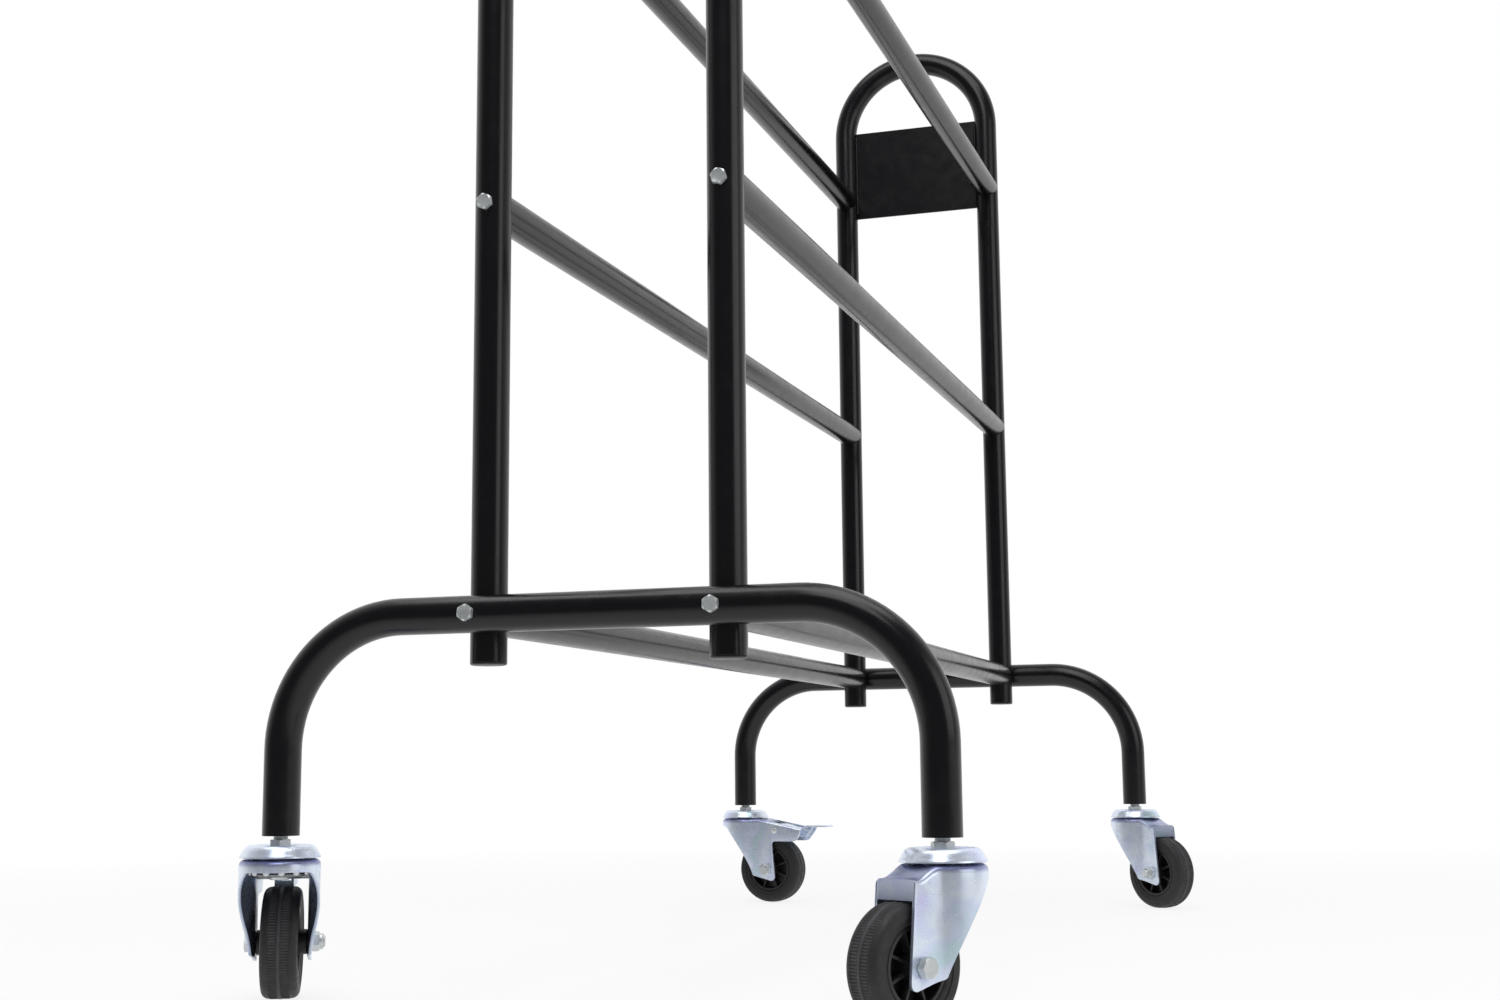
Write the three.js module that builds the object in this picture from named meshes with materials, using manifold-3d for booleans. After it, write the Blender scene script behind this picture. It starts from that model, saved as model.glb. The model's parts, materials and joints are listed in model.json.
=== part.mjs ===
// Rolling ball cart: two bent end frames, three pairs of rails and four swivel casters.
// Millimetres, +Z up, +X along the rails, origin on the floor under the middle of the cart's box.

import * as THREE from 'three';
import { ConvexGeometry } from 'three/addons/geometries/ConvexGeometry.js';
import { mergeVertices } from 'three/addons/utils/BufferGeometryUtils.js';
import Module from 'manifold-3d';

const wasm = await Module();
wasm.setup();

// Fits shared by all pieces
const SEAT_GAP = 0.3;
const OVERRUN = 5;

// Frame tube and its layout
const TUBE_DIAMETER = 25;
const TUBE_WALL = 1.5;
const END_FRAME_SPACING = 978;
const UPRIGHT_SPACING = 170;
const TIER_COUNT = 3;
const FIRST_TIER_HEIGHT = 256;
const TIER_PITCH = 285;
const HOOP_RISE = 78;
const STUB_DROP = 31;
const FOOT_TRACK = 454;
const FOOT_BEND_RADIUS = 88;
const SADDLE_DEPTH = 3;
const COPE_DEPTH = 5.5;

// Plugs welded into the rail ends and the leg ends
const PLUG_LENGTH = 18;
const LEG_PLUG_LENGTH = 22;

// Plate welded between the uprights
const PLATE_THICKNESS = 2;
const PLATE_HEIGHT = 106;
const PLATE_DROP = 22;
const PLATE_WELD_DEPTH = 0.75;

// Push-in plugs under the uprights
const END_PLUG_FLANGE = 1.6;
const END_PLUG_LENGTH = 12;
const END_PLUG_WALL = 1.5;

// Frame bolts
const BOLT_DIAMETER = 6;
const BOLT_HEAD_WIDTH = 10;
const BOLT_HEAD_HEIGHT = 4;
const BOLT_GRIP = 12;

// Wheel
const WHEEL_DIAMETER = 76;
const TYRE_WIDTH = 25;
const TYRE_DEPTH = 13;
const TYRE_SHOULDER = 3;
const RIM_THICKNESS = 3.2;
const RIM_WIDTH = 22;
const WEB_THICKNESS = 3;
const SPOKE_COUNT = 8;
const SPOKE_THICKNESS = 2;
const SPOKE_WIDTH = 18;
const BARREL_DIAMETER = 17;

// Axle bolt and locking nut
const AXLE_DIAMETER = 8;
const AXLE_HEX_WIDTH = 13;
const AXLE_HEAD_HEIGHT = 5.3;
const NUT_HEX_HEIGHT = 5.5;
const NUT_COLLAR_HEIGHT = 2.5;
const NUT_COLLAR_DIAMETER = 11.6;
const AXLE_TIP = 1.2;

// Caster fork, pressed from one sheet
const TRAIL = 35.4;
const FORK_SHEET = 2;
const CROWN_RADIUS = 27;
const CROWN_SHOULDER = 4;
const CROWN_CLEARANCE = 17.8;
const SKIRT_HEIGHT = 8.2;
const SKIRT_END = 14;
const FLANK_BOW = 7.6;
const FLANK_TIP_DROP = 13;
const FLANK_TIP_RADIUS = 5;
const FLANK_TIP_REACH = 10.9;
const FLANK_TOE_DROP = 6.5;
const FLANK_TOE_SETBACK = 16.4;
const HOOD_BACK = 5.6;
const HOOD_DROP = 7.5;
const HOOD_HEIGHT = 11;
const ROOF_MARGIN = 1;
const TYRE_SIDE_CLEARANCE = 1.2;
const TYRE_TOP_CLEARANCE = 2.5;

// Swivel head: stem, cap and ball race
const STEM_DIAMETER = 10;
const STEM_HEX_WIDTH = 13;
const STEM_HEX_HEIGHT = 4.5;
const STEM_THREAD_LENGTH = 17;
const STEM_NECK = 2.5;
const RIVET_DIAMETER = 18;
const RIVET_HEIGHT = 8;
const LOWER_CUP_DIAMETER = 34;
const LOWER_CUP_THICKNESS = 1.6;
const CAP_DIAMETER = 54;
const CAP_SHEET = 2.5;
const CAP_CREST_DIAMETER = 42;
const CAP_RECESS_DIAMETER = 34;
const CAP_CREST_HEIGHT = 1.3;
const CAP_RIM_DROP = 4.6;
const CAP_EDGE = 0.8;
const RACE_HEIGHT = 5.5;
const RACE_DIAMETER = 36;
const RACE_BALL_DIAMETER = 4.8;
const RACE_BALL_COUNT = 8;
const CAGE_WIDTH = 6;
const CAGE_THICKNESS = 1.4;

// Brake of the two left casters
const BRAKE_ROOF_REACH = 63;
const BRAKE_ROOF_DROP = 11;
const BRAKE_SLOT_START = 36;
const BRAKE_WING_DEPTH = 14.8;
const BRAKE_WING_RAKE = 6;
const BRAKE_PIN_SETBACK = 10.6;
const BRAKE_PIN_RISE = 44;
const BRAKE_PIN_DIAMETER = 4;
const BRAKE_PIN_HEAD_DIAMETER = 7;
const BRAKE_PIN_HEAD_HEIGHT = 1.2;
const PEDAL_SHEET = 1.7;
const PEDAL_HALF_WIDTH = 6.5;
const PEDAL_FRONT = 6.5;
const PEDAL_FRONT_RISE = 7.3;
const PEDAL_CREST_REACH = 7;
const PEDAL_CREST_RISE = 8;
const PEDAL_WAIST_REACH = 22;
const PEDAL_WAIST_RISE = 3.5;
const PEDAL_KNEE_REACH = 34;
const PEDAL_TOE_START = 44;
const PEDAL_TOE_REACH = 63;
const PEDAL_TOE_RISE = 6;
const PEDAL_TOE_HALF_WIDTH = 11;
const PEDAL_TOE_CORNER_RADIUS = 5;
const PEDAL_SKIRT_DROP = 7;
const PEDAL_SKIRT_REACH = 35;
const SHOE_START = 7;
const SHOE_END = 16;
const SHOE_DROP = 18;
const PEDAL_THROW = THREE.MathUtils.degToRad(10);

// Rest directions in which the wheels trail, about the swivel axes
const CORNERS = [
  { name: 'near_left', end: -1, side: 1, heading: THREE.MathUtils.degToRad(27), brake: true },
  { name: 'near_right', end: -1, side: -1, heading: THREE.MathUtils.degToRad(149), brake: false },
  { name: 'far_left', end: 1, side: 1, heading: THREE.MathUtils.degToRad(-98.5), brake: true },
  { name: 'far_right', end: 1, side: -1, heading: THREE.MathUtils.degToRad(-127), brake: false },
];

// The two pressings: half their width over the flanks, where the nose meets the hollow, and the roof
const PLAIN_FORK = {
  half: 16.5,
  fillet: THREE.MathUtils.degToRad(50),
  reach: TRAIL + HOOD_BACK,
  drop: HOOD_DROP,
};
const BRAKE_FORK = {
  half: 19.5,
  fillet: THREE.MathUtils.degToRad(60),
  reach: BRAKE_ROOF_REACH,
  drop: BRAKE_ROOF_DROP,
};

// Facet counts
const TUBE_SIDES = 16;
const BORE_SIDES = 12;
const SMALL_SIDES = 8;
const PLUG_SIDES = 12;
const HOOP_STEPS = 10;
const ELBOW_STEPS = 6;
const WHEEL_SIDES = 24;
const HUB_SIDES = 20;
const CAP_SIDES = 20;
const NOSE_STEPS = 6;
const SHOULDER_STEPS = 2;

// Places worked out from the sizes above
const TUBE_RADIUS = TUBE_DIAMETER / 2;
const BORE_RADIUS = TUBE_RADIUS - TUBE_WALL;
const PLUG_RADIUS = TUBE_RADIUS - TUBE_WALL * 0.6;
const HALF_LENGTH = END_FRAME_SPACING / 2;
const HALF_SPACING = UPRIGHT_SPACING / 2;
const HALF_TRACK = FOOT_TRACK / 2;
const FOOT_OFFSET = TUBE_DIAMETER - SADDLE_DEPTH;
const STUB_BOTTOM = FIRST_TIER_HEIGHT - STUB_DROP;
const TOP_TIER_HEIGHT = FIRST_TIER_HEIGHT + (TIER_COUNT - 1) * TIER_PITCH;
const HOOP_SHOULDER = TOP_TIER_HEIGHT + HOOP_RISE;
const WHEEL_RADIUS = WHEEL_DIAMETER / 2;
const AXLE_RADIUS = AXLE_DIAMETER / 2;
const RIM_RADIUS = WHEEL_RADIUS - TYRE_DEPTH - SEAT_GAP;
const CROWN_TOP = WHEEL_DIAMETER + CROWN_CLEARANCE + FORK_SHEET;
const CAP_UNDERSIDE = CROWN_TOP + RACE_HEIGHT;
const CAP_TOP = CAP_UNDERSIDE + CAP_SHEET;
const HEX_BOTTOM = CAP_TOP + SEAT_GAP;
const HEX_TOP = HEX_BOTTOM + STEM_HEX_HEIGHT;
const LEG_BOTTOM = HEX_TOP + STEM_NECK;
const FLANK_TOP = CROWN_TOP - HOOD_DROP;
const FLANK_BOTTOM = WHEEL_RADIUS - FLANK_TIP_DROP;
const TIP_REACH = TRAIL + FLANK_TIP_REACH;
const BRAKE_PIN = new THREE.Vector2(TRAIL + BRAKE_PIN_SETBACK, WHEEL_RADIUS + BRAKE_PIN_RISE);

// Solids in and out of the boolean library

function toSolid(geometry) {
  const bare = geometry.clone();
  bare.deleteAttribute('normal');
  bare.deleteAttribute('uv');
  const merged = mergeVertices(bare);
  const vertProperties = Float32Array.from(merged.attributes.position.array);
  const triVerts = Uint32Array.from(merged.index.array);
  return new wasm.Manifold(new wasm.Mesh({ numProp: 3, vertProperties, triVerts }));
}

function toGeometry(solid) {
  const mesh = solid.getMesh();
  const geometry = new THREE.BufferGeometry();
  geometry.setAttribute('position', new THREE.BufferAttribute(mesh.vertProperties, mesh.numProp));
  geometry.setIndex(new THREE.BufferAttribute(mesh.triVerts, 1));
  geometry.computeVertexNormals();
  return geometry;
}

function join(...geometries) {
  return geometries.map(toSolid).reduce((whole, piece) => whole.add(piece));
}

function cut(solid, ...geometries) {
  return geometries.map(toSolid).reduce((whole, piece) => whole.subtract(piece), solid);
}

// General shapes

function point(x, y, z) {
  return new THREE.Vector3(x, y, z);
}

function rod(from, to, radius, sides) {
  const axis = to.clone().sub(from);
  const geometry = new THREE.CylinderGeometry(radius, radius, axis.length(), sides);
  const turn = new THREE.Quaternion().setFromUnitVectors(point(0, 1, 0), axis.normalize());
  geometry.applyQuaternion(turn);
  const middle = from.clone().lerp(to, 0.5);
  geometry.translate(middle.x, middle.y, middle.z);
  return geometry;
}

// A cutter for a hole that clears a round piece by the seat gap all round
function bore(from, to, diameter, sides) {
  return rod(from, to, (diameter / 2 + SEAT_GAP) / Math.cos(Math.PI / sides), sides);
}

function hexRod(from, to, acrossFlats) {
  return rod(from, to, acrossFlats / Math.sqrt(3), 6);
}

// A plate drawn in the XZ plane, with its thickness centred on Y
function uprightPlate(shape, thickness) {
  const geometry = new THREE.ExtrudeGeometry(shape, { depth: thickness, bevelEnabled: false, curveSegments: 3 });
  geometry.rotateX(Math.PI / 2);
  geometry.translate(0, thickness / 2, 0);
  return geometry;
}

// A centre line that is sampled only at its own stations
class StationPath extends THREE.Curve {
  constructor(stations) {
    super();
    this.stations = stations;
  }

  station(t) {
    return this.stations[Math.round(t * (this.stations.length - 1))];
  }

  getPoint(t) {
    return this.station(t).position.clone();
  }

  getPointAt(t) {
    return this.getPoint(t);
  }

  getTangent(t) {
    return this.station(t).direction.clone();
  }

  getTangentAt(t) {
    return this.getTangent(t);
  }
}

function roundBar(stations, radius, sides) {
  const section = new THREE.Shape().absarc(0, 0, radius, 0, 2 * Math.PI);
  return new THREE.ExtrudeGeometry(section, {
    steps: stations.length - 1,
    curveSegments: sides / 2,
    bevelEnabled: false,
    extrudePath: new StationPath(stations),
  });
}

function lengthened(stations, extra) {
  const first = stations[0];
  const last = stations[stations.length - 1];
  const before = first.position.clone().addScaledVector(first.direction, -extra);
  const after = last.position.clone().addScaledVector(last.direction, extra);
  return [
    { position: before, direction: first.direction },
    ...stations.slice(1, -1),
    { position: after, direction: last.direction },
  ];
}

// An elbow in the YZ plane at distance x, turning about a centre from one angle to another
function elbow(x, centreY, centreZ, radius, fromAngle, toAngle, steps) {
  return Array.from({ length: steps + 1 }, (_, i) => {
    const angle = THREE.MathUtils.lerp(fromAngle, toAngle, i / steps);
    const turn = Math.sign(toAngle - fromAngle);
    return {
      position: point(x, centreY + radius * Math.cos(angle), centreZ + radius * Math.sin(angle)),
      direction: point(0, -turn * Math.sin(angle), turn * Math.cos(angle)),
    };
  });
}

// Materials

function blackCoat() {
  return new THREE.MeshStandardMaterial({ color: 0x111214, roughness: 0.28, metalness: 0.1 });
}

function zincPlate() {
  return new THREE.MeshStandardMaterial({ color: 0xb9bfca, roughness: 0.3, metalness: 0.95 });
}

function blackRubber() {
  return new THREE.MeshStandardMaterial({ color: 0x1b1b1d, roughness: 0.75, metalness: 0 });
}

function blackPlastic() {
  return new THREE.MeshStandardMaterial({ color: 0x0d0d0e, roughness: 0.5, metalness: 0 });
}

function named(name, geometry, material) {
  const mesh = new THREE.Mesh(geometry, material);
  mesh.name = name;
  return mesh;
}

// End frame, in its own frame: +X outward, the uprights on the YZ plane

function hoopStations() {
  const bend = elbow(0, 0, HOOP_SHOULDER, HALF_SPACING, 0, Math.PI, HOOP_STEPS);
  return [
    { position: point(0, HALF_SPACING, STUB_BOTTOM), direction: point(0, 0, 1) },
    ...bend,
    { position: point(0, -HALF_SPACING, STUB_BOTTOM), direction: point(0, 0, -1) },
  ];
}

function tierHeights() {
  return Array.from({ length: TIER_COUNT }, (_, tier) => FIRST_TIER_HEIGHT + tier * TIER_PITCH);
}

function boltHole(fromX, toX, y, z) {
  return bore(point(fromX - OVERRUN, y, z), point(toX + OVERRUN, y, z), BOLT_DIAMETER, SMALL_SIDES);
}

function hoopGeometry() {
  const stations = hoopStations();
  const inside = roundBar(lengthened(stations, OVERRUN), BORE_RADIUS, BORE_SIDES);
  const shell = cut(join(roundBar(stations, TUBE_RADIUS, TUBE_SIDES), plateGeometry()), inside);
  const holes = tierHeights().flatMap((height) => [1, -1].map((side) => (
    boltHole(-TUBE_RADIUS, TUBE_RADIUS, side * HALF_SPACING, height)
  )));
  return toGeometry(cut(shell, ...holes));
}

function footStations() {
  const centre = HALF_TRACK - FOOT_BEND_RADIUS;
  const height = FIRST_TIER_HEIGHT - FOOT_BEND_RADIUS;
  const quarter = Math.PI / 2;
  return [
    { position: point(FOOT_OFFSET, HALF_TRACK, LEG_BOTTOM), direction: point(0, 0, 1) },
    ...elbow(FOOT_OFFSET, centre, height, FOOT_BEND_RADIUS, 0, quarter, ELBOW_STEPS),
    ...elbow(FOOT_OFFSET, -centre, height, FOOT_BEND_RADIUS, quarter, Math.PI, ELBOW_STEPS),
    { position: point(FOOT_OFFSET, -HALF_TRACK, LEG_BOTTOM), direction: point(0, 0, -1) },
  ];
}

// Upright's room pressed into the foot tube; with the wall added it shapes the inside
function saddle(side, wall) {
  const low = point(0, side * HALF_SPACING, FIRST_TIER_HEIGHT - TUBE_DIAMETER);
  const high = point(0, side * HALF_SPACING, FIRST_TIER_HEIGHT + TUBE_DIAMETER);
  return bore(low, high, TUBE_DIAMETER + 2 * wall, TUBE_SIDES);
}

function footGeometry() {
  const stations = footStations();
  const outside = cut(join(roundBar(stations, TUBE_RADIUS, TUBE_SIDES)), saddle(1, 0), saddle(-1, 0));
  const hollow = roundBar(lengthened(stations, OVERRUN), BORE_RADIUS, BORE_SIDES);
  const inside = cut(join(hollow), saddle(1, TUBE_WALL), saddle(-1, TUBE_WALL));
  const sides = [1, -1];
  const plugs = sides.map((side) => rod(
    point(FOOT_OFFSET, side * HALF_TRACK, LEG_BOTTOM),
    point(FOOT_OFFSET, side * HALF_TRACK, LEG_BOTTOM + LEG_PLUG_LENGTH),
    PLUG_RADIUS,
    PLUG_SIDES,
  ));
  const threads = sides.map((side) => bore(
    point(FOOT_OFFSET, side * HALF_TRACK, LEG_BOTTOM - OVERRUN),
    point(FOOT_OFFSET, side * HALF_TRACK, LEG_BOTTOM + LEG_PLUG_LENGTH + OVERRUN),
    STEM_DIAMETER,
    PLUG_SIDES,
  ));
  const holes = sides.map((side) => (
    boltHole(FOOT_OFFSET - TUBE_RADIUS, FOOT_OFFSET + TUBE_RADIUS, side * HALF_SPACING, FIRST_TIER_HEIGHT)
  ));
  const shell = outside.subtract(inside).add(join(...plugs));
  return toGeometry(cut(shell, ...threads, ...holes));
}

function plateGeometry() {
  const halfWidth = HALF_SPACING - TUBE_RADIUS + PLATE_WELD_DEPTH;
  const plate = new THREE.BoxGeometry(PLATE_THICKNESS, 2 * halfWidth, PLATE_HEIGHT);
  return plate.translate(0, 0, TOP_TIER_HEIGHT - PLATE_DROP + PLATE_HEIGHT / 2);
}

function endPlugGeometry() {
  const top = STUB_BOTTOM - SEAT_GAP;
  const insert = BORE_RADIUS * Math.cos(Math.PI / BORE_SIDES) - SEAT_GAP;
  const flange = rod(point(0, 0, top - END_PLUG_FLANGE), point(0, 0, top), TUBE_RADIUS, TUBE_SIDES);
  const skirt = rod(point(0, 0, top - END_PLUG_FLANGE / 2), point(0, 0, top + END_PLUG_LENGTH), insert, PLUG_SIDES);
  const inside = rod(
    point(0, 0, top),
    point(0, 0, top + END_PLUG_LENGTH + OVERRUN),
    insert - END_PLUG_WALL,
    PLUG_SIDES,
  );
  return toGeometry(cut(join(flange, skirt), inside));
}

// A bolt whose head seats at headX and whose shank runs inward past the rail's coped end
function frameBoltGeometry(headX) {
  const seat = headX + SEAT_GAP;
  const tip = -(TUBE_RADIUS + SEAT_GAP + BOLT_GRIP);
  const head = hexRod(point(seat, 0, 0), point(seat + BOLT_HEAD_HEIGHT, 0, 0), BOLT_HEAD_WIDTH);
  const shank = rod(point(tip, 0, 0), point(seat + BOLT_HEAD_HEIGHT / 2, 0, 0), BOLT_DIAMETER / 2, SMALL_SIDES);
  return toGeometry(join(head, shank));
}

function sideName(side) {
  return side > 0 ? 'left' : 'right';
}

function frameBolts(endName, end) {
  const longBolt = frameBoltGeometry(FOOT_OFFSET + TUBE_RADIUS);
  const shortBolt = frameBoltGeometry(TUBE_RADIUS);
  return tierHeights().flatMap((height, tier) => [1, -1].map((side) => {
    const name = `frame_bolt_${endName}_${sideName(side * end)}_tier${tier + 1}`;
    const bolt = named(name, tier === 0 ? longBolt : shortBolt, zincPlate());
    bolt.position.set(0, side * HALF_SPACING, height);
    return bolt;
  }));
}

function endPlugs(endName, end) {
  const geometry = endPlugGeometry();
  return [1, -1].map((side) => {
    const plug = named(`end_plug_${endName}_${sideName(side * end)}`, geometry, blackPlastic());
    plug.position.y = side * HALF_SPACING;
    return plug;
  });
}

function endFrame(endName, end) {
  const frame = new THREE.Group();
  frame.position.x = end * HALF_LENGTH;
  frame.rotation.z = end > 0 ? 0 : Math.PI;
  frame.add(named(`end_hoop_${endName}`, hoopGeometry(), blackCoat()));
  frame.add(named(`foot_tube_${endName}`, footGeometry(), blackCoat()));
  frame.add(...frameBolts(endName, end), ...endPlugs(endName, end));
  return frame;
}

// Rail with its two ends coped to the uprights and a threaded plug welded in each

function railGeometry() {
  const end = HALF_LENGTH - TUBE_RADIUS + COPE_DEPTH;
  const plugEnd = HALF_LENGTH - TUBE_RADIUS - PLUG_LENGTH;
  const outside = rod(point(-end, 0, 0), point(end, 0, 0), TUBE_RADIUS, TUBE_SIDES);
  const inside = rod(point(-end - OVERRUN, 0, 0), point(end + OVERRUN, 0, 0), BORE_RADIUS, BORE_SIDES);
  const ends = [1, -1];
  const plugs = ends.map((way) => rod(
    point(way * plugEnd, 0, 0),
    point(way * end, 0, 0),
    PLUG_RADIUS,
    PLUG_SIDES,
  ));
  const copes = ends.map((way) => bore(
    point(way * HALF_LENGTH, 0, -TUBE_DIAMETER),
    point(way * HALF_LENGTH, 0, TUBE_DIAMETER),
    TUBE_DIAMETER,
    TUBE_SIDES,
  ));
  const shell = cut(join(outside), inside).add(join(...plugs));
  return toGeometry(cut(shell, ...copes, boltHole(-end, end, 0, 0)));
}

function rails() {
  const geometry = railGeometry();
  return tierHeights().flatMap((height, tier) => [1, -1].map((side) => {
    const rail = named(`rail_tier${tier + 1}_${sideName(side)}`, geometry, blackCoat());
    rail.position.set(0, side * HALF_SPACING, height);
    return rail;
  }));
}

// Caster, in its own frame: origin on the floor under the swivel axis, +X where the wheel trails

function stemGeometry() {
  const rivetTop = CROWN_TOP - FORK_SHEET - SEAT_GAP;
  const pin = rod(
    point(0, 0, rivetTop - RIVET_HEIGHT / 2),
    point(0, 0, HEX_TOP + STEM_NECK + STEM_THREAD_LENGTH),
    STEM_DIAMETER / 2,
    PLUG_SIDES,
  );
  const hex = hexRod(point(0, 0, HEX_BOTTOM), point(0, 0, HEX_TOP), STEM_HEX_WIDTH);
  const rivetBottom = rivetTop - RIVET_HEIGHT;
  const rivet = rod(point(0, 0, rivetBottom), point(0, 0, rivetTop), RIVET_DIAMETER / 2, PLUG_SIDES);
  const cup = rod(
    point(0, 0, rivetBottom),
    point(0, 0, rivetBottom + LOWER_CUP_THICKNESS),
    LOWER_CUP_DIAMETER / 2,
    CAP_SIDES,
  );
  return toGeometry(join(pin, hex, rivet, cup));
}

function lathe(profile, sides) {
  const closed = [...profile, profile[0]].map(([radius, height]) => new THREE.Vector2(radius, height));
  return new THREE.LatheGeometry(closed, sides, Math.PI / sides);
}

// A turned piece stood on end, so that its axis is the swivel axis
function upright(geometry) {
  return geometry.rotateX(Math.PI / 2);
}

function capGeometry() {
  const hole = STEM_DIAMETER / 2 + SEAT_GAP;
  const crest = CAP_CREST_DIAMETER / 2;
  const recess = CAP_RECESS_DIAMETER / 2;
  const rim = CAP_DIAMETER / 2;
  const rimBottom = CAP_UNDERSIDE - CAP_RIM_DROP;
  const profile = [
    [hole, CAP_UNDERSIDE],
    [crest, CAP_UNDERSIDE],
    [rim - CAP_SHEET, rimBottom],
    [rim, rimBottom],
    [rim, rimBottom + CAP_EDGE],
    [(crest + rim) / 2, CAP_TOP - CAP_EDGE],
    [crest + CAP_EDGE, CAP_TOP + CAP_CREST_HEIGHT / 2],
    [crest - CAP_CREST_HEIGHT, CAP_TOP + CAP_CREST_HEIGHT],
    [recess, CAP_TOP],
    [hole, CAP_TOP],
  ];
  return upright(lathe(profile, CAP_SIDES));
}

function raceGeometry() {
  const middle = CROWN_TOP + RACE_HEIGHT / 2;
  const inner = (RACE_DIAMETER - CAGE_WIDTH) / 2;
  const outer = (RACE_DIAMETER + CAGE_WIDTH) / 2;
  const low = middle - CAGE_THICKNESS / 2;
  const high = middle + CAGE_THICKNESS / 2;
  const cage = upright(lathe([[inner, low], [outer, low], [outer, high], [inner, high]], CAP_SIDES));
  const balls = Array.from({ length: RACE_BALL_COUNT }, (_, i) => {
    const angle = 2 * Math.PI * i / RACE_BALL_COUNT;
    const ball = new THREE.SphereGeometry(RACE_BALL_DIAMETER / 2, 6, 4);
    ball.rotateX(Math.PI / 2);
    ball.translate(Math.cos(angle) * RACE_DIAMETER / 2, Math.sin(angle) * RACE_DIAMETER / 2, middle);
    return ball;
  });
  return toGeometry(join(cage, ...balls));
}

// Plan outline of a fork: a round nose, two hollow fillets and straight flanks to the rear
function forkPlan(inset, rear, fork) {
  const radius = CROWN_RADIUS - inset;
  const half = fork.half - inset;
  const noseX = radius * Math.cos(fork.fillet);
  const noseY = radius * Math.sin(fork.fillet);
  const kneeX = (radius - half * Math.sin(fork.fillet)) / Math.cos(fork.fillet);
  const armX = kneeX + Math.hypot(kneeX - noseX, half - noseY);
  const shape = new THREE.Shape();
  shape.moveTo(rear, -half);
  shape.lineTo(rear, half);
  shape.lineTo(armX, half);
  shape.quadraticCurveTo(kneeX, half, noseX, noseY);
  shape.absarc(0, 0, radius, fork.fillet, 2 * Math.PI - fork.fillet);
  shape.quadraticCurveTo(kneeX, -half, armX, -half);
  return shape;
}

function ring(radius, height) {
  return Array.from({ length: CAP_SIDES }, (_, i) => {
    const angle = 2 * Math.PI * i / CAP_SIDES;
    return point(radius * Math.cos(angle), radius * Math.sin(angle), height);
  });
}

// Everything below a round-shouldered crown and the roof that slopes from it to the rear
function roofSpace(inset, fork) {
  const { reach, drop } = fork;
  const top = CROWN_TOP - inset;
  const radius = CROWN_RADIUS - inset;
  const shoulder = CROWN_SHOULDER - inset;
  const arc = Array.from({ length: SHOULDER_STEPS }, (_, i) => {
    const angle = Math.PI / 2 * (1 - i / SHOULDER_STEPS);
    const across = radius - shoulder * (1 - Math.cos(angle));
    return new THREE.Vector2(across, top - shoulder * (1 - Math.sin(angle)));
  });
  const last = arc[arc.length - 1];
  const run = 1 + ROOF_MARGIN / (radius - last.x);
  const skirt = new THREE.Vector2().lerpVectors(last, new THREE.Vector2(radius, top - shoulder), run);
  const slope = drop / (reach - CROWN_RADIUS);
  const half = fork.half + ROOF_MARGIN;
  const rear = Math.max(reach, TIP_REACH) + OVERRUN;
  const corners = [1, -1].flatMap((side) => [
    point(reach + ROOF_MARGIN, side * half, top - drop - slope * ROOF_MARGIN),
    point(rear, side * half, -2 * OVERRUN),
  ]);
  return new ConvexGeometry([
    ...arc.flatMap(({ x, y }) => ring(x, y)),
    ...ring(skirt.x, skirt.y),
    ...ring(skirt.x, -2 * OVERRUN),
    ...corners,
  ]);
}

function forkBlank(inset, fork) {
  const rear = Math.max(fork.reach, TIP_REACH) + OVERRUN;
  const plan = new THREE.ExtrudeGeometry(forkPlan(inset, rear, fork), {
    depth: CROWN_TOP + 2 * OVERRUN,
    bevelEnabled: false,
    curveSegments: NOSE_STEPS,
  });
  plan.translate(0, 0, -OVERRUN);
  return join(plan).intersect(toSolid(roofSpace(inset, fork)));
}

// Side view of the skirt and the flank, from the front round to the rear of the lower tip
function traceFlank(shape) {
  const band = CROWN_TOP - SKIRT_HEIGHT;
  const toe = new THREE.Vector2(TRAIL - FLANK_TOE_SETBACK, WHEEL_RADIUS - FLANK_TOE_DROP);
  const bowX = (toe.x - SKIRT_END) / 2 + FLANK_BOW;
  shape.moveTo(-CROWN_RADIUS - OVERRUN, CROWN_TOP + OVERRUN);
  shape.lineTo(-CROWN_RADIUS - OVERRUN, band);
  shape.lineTo(-SKIRT_END, band);
  shape.quadraticCurveTo(bowX, (band + toe.y) / 2, toe.x, toe.y);
  shape.lineTo(TIP_REACH - FLANK_TIP_RADIUS, FLANK_BOTTOM);
  shape.quadraticCurveTo(TIP_REACH, FLANK_BOTTOM, TIP_REACH, FLANK_BOTTOM + FLANK_TIP_RADIUS);
}

function plainSide() {
  const shape = new THREE.Shape();
  traceFlank(shape);
  shape.lineTo(PLAIN_FORK.reach, FLANK_TOP);
  shape.lineTo(PLAIN_FORK.reach, CROWN_TOP + OVERRUN);
  return shape;
}

function brakeSide() {
  const shape = new THREE.Shape();
  const wingBottom = CROWN_TOP - BRAKE_ROOF_DROP - BRAKE_WING_DEPTH;
  const end = BRAKE_ROOF_REACH - BRAKE_WING_RAKE;
  const corner = FLANK_TIP_RADIUS;
  traceFlank(shape);
  shape.lineTo(rearReach(wingBottom - corner), wingBottom - corner);
  shape.quadraticCurveTo(rearReach(wingBottom), wingBottom, rearReach(wingBottom) + corner, wingBottom);
  shape.lineTo(end - corner, wingBottom);
  shape.quadraticCurveTo(end, wingBottom, end + BRAKE_WING_RAKE / 2, wingBottom + corner);
  shape.lineTo(BRAKE_ROOF_REACH, CROWN_TOP - BRAKE_ROOF_DROP);
  shape.lineTo(BRAKE_ROOF_REACH, CROWN_TOP + OVERRUN);
  return shape;
}

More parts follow.
